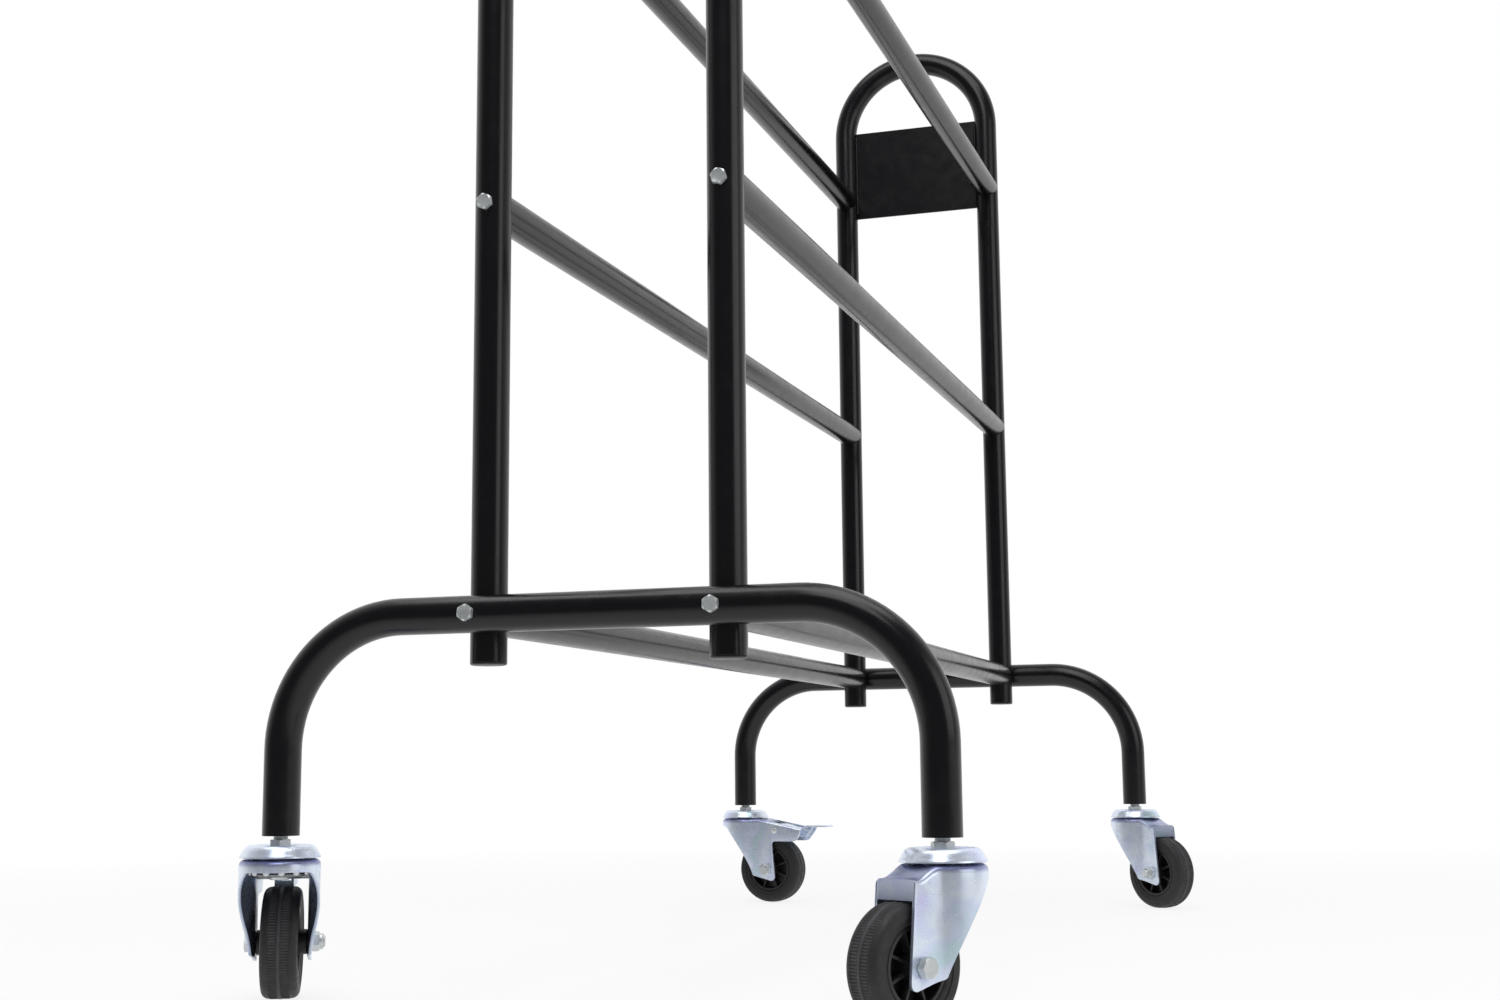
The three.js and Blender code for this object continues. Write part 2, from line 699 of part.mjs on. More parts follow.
function rearReach(height) {
  const share = (FLANK_TOP - height) / (FLANK_TOP - FLANK_BOTTOM - FLANK_TIP_RADIUS);
  return THREE.MathUtils.lerp(PLAIN_FORK.reach, TIP_REACH, share);
}

// Side view of the hollow: a sheet short of the hood's slanted wall, or open behind
function hollowSide(brake) {
  const low = -2 * OVERRUN;
  const high = CROWN_TOP + OVERRUN;
  const rearAt = (height) => (brake ? BRAKE_ROOF_REACH + OVERRUN : rearReach(height) - FORK_SHEET);
  const shape = new THREE.Shape();
  shape.moveTo(-CROWN_RADIUS - OVERRUN, high);
  shape.lineTo(-CROWN_RADIUS - OVERRUN, low);
  shape.lineTo(rearAt(low), low);
  shape.lineTo(rearAt(high), high);
  return shape;
}

function crossHole(x, z, diameter, halfWidth) {
  return bore(point(x, -halfWidth - OVERRUN, z), point(x, halfWidth + OVERRUN, z), diameter, PLUG_SIDES);
}

function box(left, right, halfWidth, low, high) {
  const geometry = new THREE.BoxGeometry(right - left, 2 * halfWidth, high - low);
  return geometry.translate((left + right) / 2, 0, (low + high) / 2);
}

function forkCuts(brake, half) {
  const inside = half - FORK_SHEET;
  const wheelGap = TYRE_WIDTH / 2 + TYRE_SIDE_CLEARANCE;
  const gapRadius = WHEEL_RADIUS + TYRE_TOP_CLEARANCE;
  const opening = brake
    ? box(BRAKE_SLOT_START, BRAKE_ROOF_REACH + OVERRUN, inside, -OVERRUN, CROWN_TOP + OVERRUN)
    : box(TRAIL, TIP_REACH + OVERRUN, inside, -OVERRUN, FLANK_TOP - HOOD_HEIGHT);
  return [
    opening,
    rod(point(TRAIL, -wheelGap, WHEEL_RADIUS), point(TRAIL, wheelGap, WHEEL_RADIUS), gapRadius, WHEEL_SIDES),
    crossHole(TRAIL, WHEEL_RADIUS, AXLE_DIAMETER, CROWN_RADIUS),
    bore(point(0, 0, CROWN_TOP - CROWN_CLEARANCE), point(0, 0, CROWN_TOP + OVERRUN), STEM_DIAMETER, PLUG_SIDES),
  ];
}

// The rivet stands across the slot, upset on both flanks
function brakeRivet() {
  const { x, y } = BRAKE_PIN;
  const seat = BRAKE_FORK.half - FORK_SHEET / 2;
  const end = BRAKE_FORK.half + BRAKE_PIN_HEAD_HEIGHT;
  const pin = rod(point(x, -end, y), point(x, end, y), BRAKE_PIN_DIAMETER / 2, PLUG_SIDES);
  const heads = [1, -1].map((side) => rod(
    point(x, side * seat, y),
    point(x, side * end, y),
    BRAKE_PIN_HEAD_DIAMETER / 2,
    PLUG_SIDES,
  ));
  return join(pin, ...heads);
}

function forkGeometry(brake) {
  const kind = brake ? BRAKE_FORK : PLAIN_FORK;
  const width = 2 * (CROWN_RADIUS + OVERRUN);
  const side = brake ? brakeSide() : plainSide();
  const outside = forkBlank(0, kind).intersect(toSolid(uprightPlate(side, width)));
  const hollow = forkBlank(FORK_SHEET, kind).intersect(toSolid(uprightPlate(hollowSide(brake), width)));
  const fork = cut(outside.subtract(hollow), ...forkCuts(brake, kind.half));
  return toGeometry(brake ? fork.add(brakeRivet()) : fork);
}

// Wheel and axle, in a frame whose origin is the wheel's centre and whose Y is the axle

function tyreGeometry() {
  const half = TYRE_WIDTH / 2;
  const inner = WHEEL_RADIUS - TYRE_DEPTH;
  const wall = WHEEL_RADIUS - TYRE_SHOULDER;
  const lip = half - TYRE_SHOULDER / 2;
  const tread = half - TYRE_SHOULDER;
  return lathe([
    [inner, -lip],
    [(inner + wall) / 2, -half],
    [wall, -half],
    [WHEEL_RADIUS, -tread],
    [WHEEL_RADIUS, tread],
    [wall, half],
    [(inner + wall) / 2, half],
    [inner, lip],
  ], WHEEL_SIDES);
}

function ringOf(inner, outer, width, sides) {
  const half = width / 2;
  return lathe([[inner, -half], [outer, -half], [outer, half], [inner, half]], sides);
}

function hubGeometry(half) {
  const inside = half - FORK_SHEET;
  const barrel = BARREL_DIAMETER / 2;
  const rimInside = RIM_RADIUS - RIM_THICKNESS;
  const axleHole = AXLE_RADIUS / 2;
  const rim = ringOf(rimInside, RIM_RADIUS, RIM_WIDTH, WHEEL_SIDES);
  const web = ringOf(axleHole, RIM_RADIUS - RIM_THICKNESS / 2, WEB_THICKNESS, HUB_SIDES);
  const spokes = Array.from({ length: SPOKE_COUNT / 2 }, (_, i) => {
    const spoke = new THREE.BoxGeometry(2 * RIM_RADIUS - RIM_THICKNESS, SPOKE_WIDTH, SPOKE_THICKNESS);
    return spoke.rotateY(2 * Math.PI * (i + 0.5) / SPOKE_COUNT);
  });
  const sleeve = rod(
    point(0, -inside + SEAT_GAP, 0),
    point(0, inside - SEAT_GAP, 0),
    barrel,
    PLUG_SIDES,
  );
  return toGeometry(cut(join(rim, web, sleeve, ...spokes), crossHole(0, 0, AXLE_DIAMETER, inside)));
}

function axleBoltGeometry(half) {
  const seat = half + SEAT_GAP;
  const head = hexRod(point(0, seat, 0), point(0, seat + AXLE_HEAD_HEIGHT, 0), AXLE_HEX_WIDTH);
  const tip = seat + NUT_HEX_HEIGHT + NUT_COLLAR_HEIGHT + AXLE_TIP;
  const shank = rod(point(0, -tip, 0), point(0, seat + AXLE_HEAD_HEIGHT / 2, 0), AXLE_RADIUS, PLUG_SIDES);
  return toGeometry(join(head, shank));
}

function axleNutGeometry(half) {
  const seat = -half - SEAT_GAP;
  const shoulder = seat - NUT_HEX_HEIGHT;
  const hex = hexRod(point(0, shoulder, 0), point(0, seat, 0), AXLE_HEX_WIDTH);
  const collar = rod(
    point(0, shoulder - NUT_COLLAR_HEIGHT, 0),
    point(0, shoulder + NUT_COLLAR_HEIGHT / 2, 0),
    NUT_COLLAR_DIAMETER / 2,
    PLUG_SIDES,
  );
  return toGeometry(cut(join(hex, collar), crossHole(0, 0, AXLE_DIAMETER, CROWN_RADIUS)));
}

// Brake pedal: an inverted channel on the rivet, with a shoe over the tread and a flat toe

// Upper line of the channel in side view, from its front to the start of the toe
function pedalCrest(lowered) {
  const { x, y } = BRAKE_PIN;
  return [
    [x - PEDAL_FRONT, y + PEDAL_FRONT_RISE - lowered],
    [x + PEDAL_CREST_REACH, y + PEDAL_CREST_RISE - lowered],
    [x + PEDAL_WAIST_REACH, y + PEDAL_WAIST_RISE - lowered],
    [x + PEDAL_KNEE_REACH, y + PEDAL_WAIST_RISE - lowered],
    [x + PEDAL_TOE_START, y + PEDAL_TOE_RISE - lowered],
  ];
}

function traceLine(shape, corners) {
  corners.forEach(([x, y], i) => (i === 0 ? shape.moveTo(x, y) : shape.lineTo(x, y)));
  return shape;
}

function pedalSide() {
  const { x, y } = BRAKE_PIN;
  const skirt = y - PEDAL_SKIRT_DROP;
  const toeStart = x + PEDAL_TOE_START;
  return traceLine(new THREE.Shape(), [
    ...pedalCrest(0).reverse(),
    [x - PEDAL_FRONT, skirt + PEDAL_SHEET],
    [x, skirt],
    [x + PEDAL_SKIRT_REACH, skirt],
    [toeStart, y + PEDAL_TOE_RISE - PEDAL_SHEET],
    [x + PEDAL_TOE_REACH, y + PEDAL_TOE_RISE - PEDAL_SHEET],
    [x + PEDAL_TOE_REACH, y + PEDAL_TOE_RISE],
  ]);
}

function pedalHollow() {
  const { x, y } = BRAKE_PIN;
  const skirt = y - PEDAL_SKIRT_DROP;
  const crest = pedalCrest(PEDAL_SHEET);
  return traceLine(new THREE.Shape(), [
    [x + PEDAL_TOE_START, skirt - OVERRUN],
    ...crest.reverse(),
    [x - PEDAL_FRONT - OVERRUN, y + PEDAL_FRONT_RISE - PEDAL_SHEET],
    [x - PEDAL_FRONT - OVERRUN, skirt - OVERRUN],
  ]);
}

function pedalToe() {
  const { x, y } = BRAKE_PIN;
  const start = x + PEDAL_KNEE_REACH + PEDAL_SHEET;
  const wide = x + PEDAL_TOE_START;
  const end = x + PEDAL_TOE_REACH;
  const half = PEDAL_TOE_HALF_WIDTH;
  const corner = PEDAL_TOE_CORNER_RADIUS;
  const shape = new THREE.Shape();
  shape.moveTo(start, -PEDAL_HALF_WIDTH);
  shape.lineTo(wide, -half);
  shape.lineTo(end - corner, -half);
  shape.quadraticCurveTo(end, -half, end, -half + corner);
  shape.lineTo(end, half - corner);
  shape.quadraticCurveTo(end, half, end - corner, half);
  shape.lineTo(wide, half);
  shape.lineTo(start, PEDAL_HALF_WIDTH);
  const toe = new THREE.ExtrudeGeometry(shape, { depth: PEDAL_SHEET, bevelEnabled: false, curveSegments: 3 });
  return toe.translate(0, 0, y + PEDAL_TOE_RISE - PEDAL_SHEET);
}

function brakeShoe() {
  const { x, y } = BRAKE_PIN;
  const thickness = 2 * (PEDAL_HALF_WIDTH - PEDAL_SHEET / 2);
  return uprightPlate(traceLine(new THREE.Shape(), [
    [x + SHOE_START, y - SHOE_DROP],
    [x + SHOE_END, y - SHOE_DROP],
    [x + SHOE_END, y - PEDAL_SKIRT_DROP / 2],
    [x + SHOE_START, y - PEDAL_SKIRT_DROP / 2],
  ]), thickness);
}

// The tyre as the pressed pedal meets it, turned back by the throw about the rivet
function pressedTyre() {
  const centre = new THREE.Vector2(TRAIL, WHEEL_RADIUS).rotateAround(BRAKE_PIN, PEDAL_THROW);
  return rod(
    point(centre.x, -CROWN_RADIUS, centre.y),
    point(centre.x, CROWN_RADIUS, centre.y),
    WHEEL_RADIUS + SEAT_GAP,
    2 * WHEEL_SIDES,
  );
}

function pedalGeometry() {
  const sheet = uprightPlate(pedalSide(), 2 * PEDAL_HALF_WIDTH);
  const channel = cut(join(sheet), uprightPlate(pedalHollow(), 2 * (PEDAL_HALF_WIDTH - PEDAL_SHEET)));
  const body = channel.add(join(pedalToe(), brakeShoe()));
  const rivetHole = crossHole(BRAKE_PIN.x, BRAKE_PIN.y, BRAKE_PIN_DIAMETER, PEDAL_HALF_WIDTH);
  return toGeometry(cut(body, rivetHole, pressedTyre()));
}

function wheelSet(name, half) {
  const axle = new THREE.Group();
  axle.position.set(TRAIL, 0, WHEEL_RADIUS);
  axle.add(named(`tyre_${name}`, tyreGeometry(), blackRubber()));
  axle.add(named(`wheel_hub_${name}`, hubGeometry(half), blackPlastic()));
  axle.add(named(`axle_bolt_${name}`, axleBoltGeometry(half), zincPlate()));
  axle.add(named(`axle_nut_${name}`, axleNutGeometry(half), zincPlate()));
  return axle;
}

function caster({ name, end, side, heading, brake }) {
  const group = new THREE.Group();
  group.position.set(end * (HALF_LENGTH + FOOT_OFFSET), side * HALF_TRACK, 0);
  group.rotation.z = heading;
  group.add(named(`caster_stem_${name}`, stemGeometry(), zincPlate()));
  group.add(named(`swivel_cap_${name}`, capGeometry(), zincPlate()));
  group.add(named(`ball_race_${name}`, raceGeometry(), zincPlate()));
  group.add(named(`caster_fork_${name}`, forkGeometry(brake), zincPlate()));
  group.add(wheelSet(name, (brake ? BRAKE_FORK : PLAIN_FORK).half));
  if (brake) {
    group.add(named(`brake_pedal_${name}`, pedalGeometry(), zincPlate()));
  }
  return group;
}

// The whole cart, moved so that the middle of its box stands over the origin

function ballCart() {
  const cart = new THREE.Group();
  cart.add(endFrame('near', -1), endFrame('far', 1), ...rails(), ...CORNERS.map(caster));
  cart.updateMatrixWorld(true);
  const box = new THREE.Box3().setFromObject(cart, true);
  const middle = box.getCenter(new THREE.Vector3());
  cart.position.set(-middle.x, -middle.y, -box.min.z);
  cart.updateMatrixWorld(true);
  return cart;
}

export default ballCart();
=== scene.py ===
"""Looks of a ball cart: tube end frames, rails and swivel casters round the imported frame."""

import json
import math

import bmesh
import bpy
from bpy.props import FloatProperty, FloatVectorProperty, IntProperty, PointerProperty
from mathutils import Euler, Matrix, Vector


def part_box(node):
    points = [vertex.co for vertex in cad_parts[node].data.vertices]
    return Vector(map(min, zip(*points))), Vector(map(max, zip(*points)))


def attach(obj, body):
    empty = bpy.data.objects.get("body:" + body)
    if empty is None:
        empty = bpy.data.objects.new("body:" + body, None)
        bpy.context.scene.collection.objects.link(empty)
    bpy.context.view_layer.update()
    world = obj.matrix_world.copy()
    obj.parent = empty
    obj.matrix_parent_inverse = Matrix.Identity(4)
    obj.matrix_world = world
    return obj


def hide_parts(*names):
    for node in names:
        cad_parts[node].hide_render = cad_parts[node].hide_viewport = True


bl_info = {
    "name": "Ball cart",
    "version": (1, 0, 0),
    "blender": (4, 5, 0),
    "location": "3D View > Sidebar > Ball cart",
    "description": "Dresses a ball cart of bent tube on swivel casters",
    "category": "Object",
}

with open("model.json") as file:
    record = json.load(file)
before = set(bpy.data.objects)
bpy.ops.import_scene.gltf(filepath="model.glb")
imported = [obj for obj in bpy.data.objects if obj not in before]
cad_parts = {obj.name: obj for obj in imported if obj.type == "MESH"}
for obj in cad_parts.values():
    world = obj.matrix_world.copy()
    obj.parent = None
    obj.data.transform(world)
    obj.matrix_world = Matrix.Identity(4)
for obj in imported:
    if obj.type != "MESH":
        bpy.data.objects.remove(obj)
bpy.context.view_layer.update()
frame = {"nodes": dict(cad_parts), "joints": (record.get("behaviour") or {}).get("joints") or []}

ENDS = {"near": -1, "far": 1}
SIDES = {"left": 1, "right": -1}
CORNERS = [f"{end}_{side}" for end in ENDS for side in SIDES]
BRAKED = [corner for corner in CORNERS if f"brake_pedal_{corner}" in frame["nodes"]]
JOINTS = {joint["name"]: joint for joint in frame["joints"]}
TURN = 2 * math.pi
SAME = 1e-6  # places closer than this count as one
FIT = 0.0002  # room left between two pressed parts


def middle(node):
    """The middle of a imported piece."""
    low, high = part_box(node)
    return (low + high) / 2


def width(node):
    """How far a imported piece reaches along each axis."""
    low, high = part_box(node)
    return high - low


# Sizes and colours


def length(label, words, value):
    """A length in metres."""
    return FloatProperty(
        name=label, description=words, default=value, min=0, unit="LENGTH", precision=5
    )


def angle(label, words, degrees):
    """An angle, given in degrees."""
    radians = math.radians(degrees)
    return FloatProperty(name=label, description=words, default=radians, subtype="ANGLE")


def count(label, words, value):
    """A number of sides, steps or balls."""
    return IntProperty(name=label, description=words, default=value, min=3)


def colour(label, words, value):
    """A colour."""
    return FloatVectorProperty(
        name=label, description=words, default=value, size=3, min=0, max=1, subtype="COLOR"
    )


def share(label, words, value):
    """A number from nought to one."""
    return FloatProperty(
        name=label, description=words, default=value, min=0, max=1, subtype="FACTOR"
    )


class CartTubes(bpy.types.PropertyGroup):
    diameter: length(
        "Tube diameter", "Outside diameter of every frame tube", width("rail_tier1_left").z
    )
    wall: length("Tube wall", "Wall of every frame tube", 0.0015)
    foot_bend: length("Foot bend", "Bend radius of the foot tubes' centre line", 0.088)
    plate_height: length("Plate height", "Height of the plate between the uprights", 0.106)
    plate_sheet: length("Plate sheet", "Thickness of the plate", 0.002)
    plate_drop: length("Plate drop", "How far the plate starts below the top rails' middle", 0.022)
    weld: length("Weld bead", "Radius of the weld beads along the plates", 0.0018)
    sides: count("Tube sides", "Facets round each tube", 48)
    bend_steps: count("Bend steps", "Steps along half a turn of bend", 48)
    coat: colour("Powder coat", "Colour of the gloss powder coat", (0.0036, 0.0034, 0.0050))
    coat_roughness: share("Coat roughness", "Roughness of the powder coat", 0.2)
    plug: colour("Black plastic", "Colour of the end plugs and wheel hubs", (0.012, 0.012, 0.013))


class CartBolts(bpy.types.PropertyGroup):
    head_width: length("Bolt head", "Head of the frame bolts across the flats", 0.010)
    head_height: length("Bolt head height", "Height of the frame bolts' heads", 0.004)
    shank: length("Bolt shank", "Diameter of the frame bolts' shanks", 0.006)
    axle_width: length("Axle head", "Axle bolt's head across the flats", 0.0118)
    nut_width: length("Axle nut", "Axle nut across the flats", 0.0118)
    axle_head: length("Axle head height", "Height of the axle bolt's head", 0.0053)
    axle_shank: length("Axle diameter", "Diameter of the axle bolt", 0.008)
    nut_height: length("Nut height", "Height of the axle nut's hexagon", 0.0055)
    nut_collar: length("Nut collar", "Height of the axle nut's locking collar", 0.0025)
    stem_hex: length("Stem hexagon", "Hexagon of the caster stems across the flats", 0.013)
    seat: length("Seat gap", "Gap where a head seats", 0.0003)
    steel: colour("Bright zinc", "Colour of the bolts, nuts and stems", (0.66, 0.69, 0.70))
    # Dark colour that paints the shade on the race cups and cages.
    race_shade_colour: colour("Race steel", "Colour of the cages and cups in painted shade", (0.16, 0.17, 0.18))


class CartCasters(bpy.types.PropertyGroup):
    wheel: length("Wheel diameter", "Diameter over the tread", 0.076)
    tyre_width: length("Tyre width", "Width of the tyre", 0.025)
    hub_radius: length("Hub radius", "Radius at which the tyre sits on the rim", 0.0247)
    crown: length("Crown radius", "Radius of the fork's round nose", 0.027)
    shoulder: length("Crown shoulder", "Rounding of the crown's upper edge", 0.004)
    crown_top: length("Crown height", "Height of the fork's crown above the floor", 0.0958)
    sheet: length("Fork sheet", "Thickness of the pressed fork", 0.002)
    plain_half: length(
        "Plain fork half width", "From the middle to the outside of a plain flank", 0.0165
    )
    plain_fillet: angle("Plain fork fillet", "Where the plain nose meets its hollow", 50)
    brake_half: length(
        "Brake fork half width", "From the middle to the outside of a brake fork's flank", 0.0195
    )
    brake_fillet: angle("Brake fork fillet", "Where the brake fork's nose meets its hollow", 60)
    roof_start: length("Roof start", "Where the roof starts to fall behind the swivel axis", 0.019)
    hood: length("Hood reach", "How far the plain hood reaches behind the swivel axis", 0.041)
    hood_drop: length("Hood drop", "How far the plain hood's edge lies below the crown", 0.0075)
    hood_height: length("Hood height", "Height of the plain hood's rear wall", 0.0122)
    wing: length("Wing reach", "How far the brake fork's wings reach behind the swivel axis", 0.080)
    wing_drop: length("Wing drop", "How far the wings' rear end lies below the crown", 0.011)
    wing_depth: length("Wing depth", "Depth of the wings at their rear end", 0.0148)
    grooves: count("Tread grooves", "Fine grooves round each tread band", 120)
    spokes: count("Spokes", "Spokes in each wheel", 8)
    balls: count("Upper race balls", "Balls between the cap and the crown", 8)
    lower_balls: count("Lower race balls", "Balls between the crown and the cup under it", 12)
    zinc: colour("Zinc plate", "Main colour of the plated casters", (0.73, 0.80, 1.0))
    zinc_green: colour("Zinc tint, green", "Green tint of the plating", (0.62, 0.79, 0.86))
    zinc_violet: colour("Zinc tint, violet", "Violet tint of the plating", (0.71, 0.70, 0.99))
    # Violet tint of the plating together with painted shade under the cap, over the crown and the
    # plain fork's roof.
    crown_violet_shade: colour(
        "Crown tint",
        "What the plating's colour is multiplied by over the crown",
        (0.34, 0.34, 0.50),
    )
    # Painted shade: darkens the walls inside the pressing and the brake pedal's front end.
    inside_painted_shade: colour(
        "Inner tint", "What it is multiplied by inside the pressing", (0.30, 0.31, 0.36)
    )
    # The paler ridges are a painted highlight where light catches the tread.
    ridge: FloatProperty(
        name="Painted ridge highlight", description="How much paler the tread's ridges are", default=3.2, min=1
    )
    rubber: colour("Tyre rubber", "Colour of the tyres", (0.016, 0.016, 0.0175))


class CartStage(bpy.types.PropertyGroup):
    camera: FloatVectorProperty(
        name="Camera place",
        description="Camera from the floor under the frame's middle",
        default=(-1.65124, -0.47016, 0.15236),
        size=3,
        unit="LENGTH",
    )
    heading: angle("Camera heading", "Turn of the view from the rails towards the left", 17.7556)
    pitch: angle("Camera pitch", "Upward tilt of the view", 8.2876)
    roll: angle("Camera roll", "Turn of the view about its own axis", -0.5028)
    lens: FloatProperty(
        name="Lens", description="Focal length in millimetres", default=45.511, min=1
    )
    floor: colour("Floor", "Colour of the floor", (0.86, 0.86, 0.86))
    backdrop: colour("Backdrop", "Colour of the surroundings", (1.0, 1.0, 1.0))
    behind: share("Studio behind", "Brightness of the studio behind the camera", 0.14)


def tubes():
    """The frame tubes' settings."""
    return bpy.context.scene.cart_tubes


def bolts():
    """The fasteners' settings."""
    return bpy.context.scene.cart_bolts


def casters():
    """The casters' settings."""
    return bpy.context.scene.cart_casters


# Places taken from the frame


def corner_place(corner):
    """From a caster's own frame, floor under the swivel axis and +X where the wheel trails."""
    pivot = Vector(JOINTS[f"swivel_turn_{corner}"]["pos_m"])
    wheel = Vector(JOINTS[f"wheel_spin_{corner}"]["pos_m"])
    trail = wheel - pivot
    floor = Vector((pivot.x, pivot.y, wheel.z - casters().wheel / 2))
    return Matrix.Translation(floor) @ Matrix.Rotation(math.atan2(trail.y, trail.x), 4, "Z")


def trail():
    """How far the axle trails behind the swivel axis."""
    pivot = Vector(JOINTS["swivel_turn_near_right"]["pos_m"]).xy
    return (Vector(JOINTS["wheel_spin_near_right"]["pos_m"]).xy - pivot).length


def axle_place(corner):
    """From a wheel's own frame, with its axle along Z."""
    centre = Matrix.Translation((trail(), 0, casters().wheel / 2))
    return corner_place(corner) @ centre @ Matrix.Rotation(-math.pi / 2, 4, "X")


def cart_middle():
    """The floor under the middle of the frame, which the casters' directions don't move."""
    x = (middle("end_hoop_near").x + middle("end_hoop_far").x) / 2
    y = middle("end_hoop_near").y
    z = Vector(JOINTS["wheel_spin_near_right"]["pos_m"]).z - casters().wheel / 2
    return Vector((x, y, z))


# Making pieces


def verts_of(geometry):
    """The vertices among an operator's results."""
    return [item for item in geometry if isinstance(item, bmesh.types.BMVert)]


def edges_among(shape, verts):
    """The edges that join some of the vertices."""
    chosen = set(verts)
    return [edge for edge in shape.edges if edge.verts[0] in chosen and edge.verts[1] in chosen]


def ring(shape, radius, sides, place):
    """A ring of edges about Z, moved to its place."""
    made = bmesh.ops.create_circle(shape, segments=sides, radius=radius, matrix=place)["verts"]
    return edges_among(shape, made)


def ends_of(edges):
    """The vertices of some edges, each once."""
    return list({vert for edge in edges for vert in edge.verts})


def run(shape, edges, step):
    """Pulls a ring of edges straight on and returns the new ring."""
    made = bmesh.ops.extrude_edge_only(shape, edges=edges)["geom"]
    verts = verts_of(made)
    bmesh.ops.translate(shape, verts=verts, vec=step)
    chosen = set(verts)
    return [e for e in made if isinstance(e, bmesh.types.BMEdge) and set(e.verts) <= chosen]


def bend(shape, edges, centre, axis, turn, steps):
    """Carries a ring of edges round a centre and returns the new ring."""
    made = bmesh.ops.spin(shape, geom=edges, cent=centre, axis=axis, angle=turn, steps=steps)
    return [item for item in made["geom_last"] if isinstance(item, bmesh.types.BMEdge)]


def narrow(shape, edges, factor):
    """Pulls a ring of edges inward in its own plane and returns the new ring."""
    inner = run(shape, edges, Vector((0, 0, 0)))
    verts = ends_of(inner)
    centre = sum((vert.co for vert in verts), Vector()) / len(verts)
    for vert in verts:
        vert.co = centre + (vert.co - centre) * factor
    return inner


def open_end(shape, edges, inward, depth=0.02):
    """Gives a tube end its wall and a short way in."""
    radius = tubes().diameter / 2
    rim = narrow(shape, edges, (radius - tubes().wall) / radius)
    bmesh.ops.edgeloop_fill(shape, edges=run(shape, rim, inward * depth))


def turned(corners, steps):
    """A turned solid about Z from a loop of (radius, height) corners."""
    shape = bmesh.new()
    verts = [shape.verts.new((radius, 0, height)) for radius, height in corners]
    edges = [shape.edges.new(pair) for pair in zip(verts, verts[1:] + verts[:1])]
    bmesh.ops.spin(
        shape,
        geom=verts + edges,
        cent=(0, 0, 0),
        axis=(0, 0, 1),
        angle=TURN,
        steps=steps,
        use_merge=True,
    )
    bmesh.ops.recalc_face_normals(shape, faces=shape.faces)
    return shape


def hexagon(across, turn):
    """Radius of a hexagon with that width across its flats, in one direction."""
    return across / 2 / math.cos((turn % (TURN / 6)) - TURN / 12)


def hex_stack(levels, steps=48):
    """A closed stack of rings on Z.

    A round level is (height, radius). A hexagon's level is (height, half its width across the
    flats, how far its corners fall).
    """
    shape = bmesh.new()
    edges = ring(shape, 1, steps, Matrix())
    bottom = edges
    for index, (height, radius, *fall) in enumerate(levels):
        if index:
            edges = run(shape, edges, Vector((0, 0, 0)))
        for vert in ends_of(edges):
            turn = math.atan2(vert.co.y, vert.co.x)
            reach = hexagon(2 * radius, turn) if fall else radius
            drop = fall[0] * (reach - radius) / radius if fall else 0
            vert.co = (reach * math.cos(turn), reach * math.sin(turn), height - drop)
    bmesh.ops.edgeloop_fill(shape, edges=edges)
    bmesh.ops.edgeloop_fill(shape, edges=bottom)
    bmesh.ops.recalc_face_normals(shape, faces=shape.faces)
    return shape


def prism(outline, low, high, plane):
    """A closed prism over an outline: 'plan' rises along Z, 'side' lies in XZ and runs along Y."""
    shape = bmesh.new()
    if plane == "plan":
        verts = [shape.verts.new((x, y, low)) for x, y in outline]
        step = Vector((0, 0, high - low))
    else:
        verts = [shape.verts.new((x, low, z)) for x, z in outline]
        step = Vector((0, high - low, 0))
    face = shape.faces.new(verts)
    made = bmesh.ops.extrude_face_region(shape, geom=[face])["geom"]
    bmesh.ops.translate(shape, verts=verts_of(made), vec=step)
    bmesh.ops.recalc_face_normals(shape, faces=shape.faces)
    return shape


def block(low, high):
    """A box between two corners."""
    shape = bmesh.new()
    low, high = Vector(low), Vector(high)
    place = Matrix.Translation((low + high) / 2) @ Matrix.Diagonal((*(high - low), 1))
    bmesh.ops.create_cube(shape, size=1, matrix=place)
    return shape


def round_edges(shape, edges, radius, segments):
    """Rounds some edges off."""
    bmesh.ops.bevel(
        shape,
        geom=edges,
        offset=radius,
        offset_type="OFFSET",
        segments=segments,
        profile=0.5,
        affect="EDGES",
        clamp_overlap=True,
        material=-1,
    )


def merged(*shapes):
    """Several closed shapes in one mesh."""
    whole = bmesh.new()
    for shape in shapes:
        mesh = bpy.data.meshes.new("part")
        shape.to_mesh(mesh)
        shape.free()
        whole.from_mesh(mesh)
        bpy.data.meshes.remove(mesh)
    return whole


def placed(shape, place):
    """Moves a shape to its place."""
    bmesh.ops.transform(shape, matrix=place, verts=shape.verts)
    return shape


def rod(start, end, radius, sides):
    """A round bar between two points."""
    start, end = Vector(start), Vector(end)
    axis = end - start
    shape = bmesh.new()
    upright = axis.to_track_quat("Z", "Y").to_matrix().to_4x4()
    bmesh.ops.create_cone(
        shape,
        cap_ends=True,
        segments=sides,
        radius1=radius,
        radius2=radius,
        depth=axis.length,
        matrix=Matrix.Translation((start + end) / 2) @ upright,
    )
    return shape


def loose(shape, name):
    """Puts a shape into the scene as an object of its own."""
    mesh = bpy.data.meshes.new(name)
    shape.to_mesh(mesh)
    shape.free()
    thing = bpy.data.objects.new(name, mesh)
    bpy.context.scene.collection.objects.link(thing)
    return thing


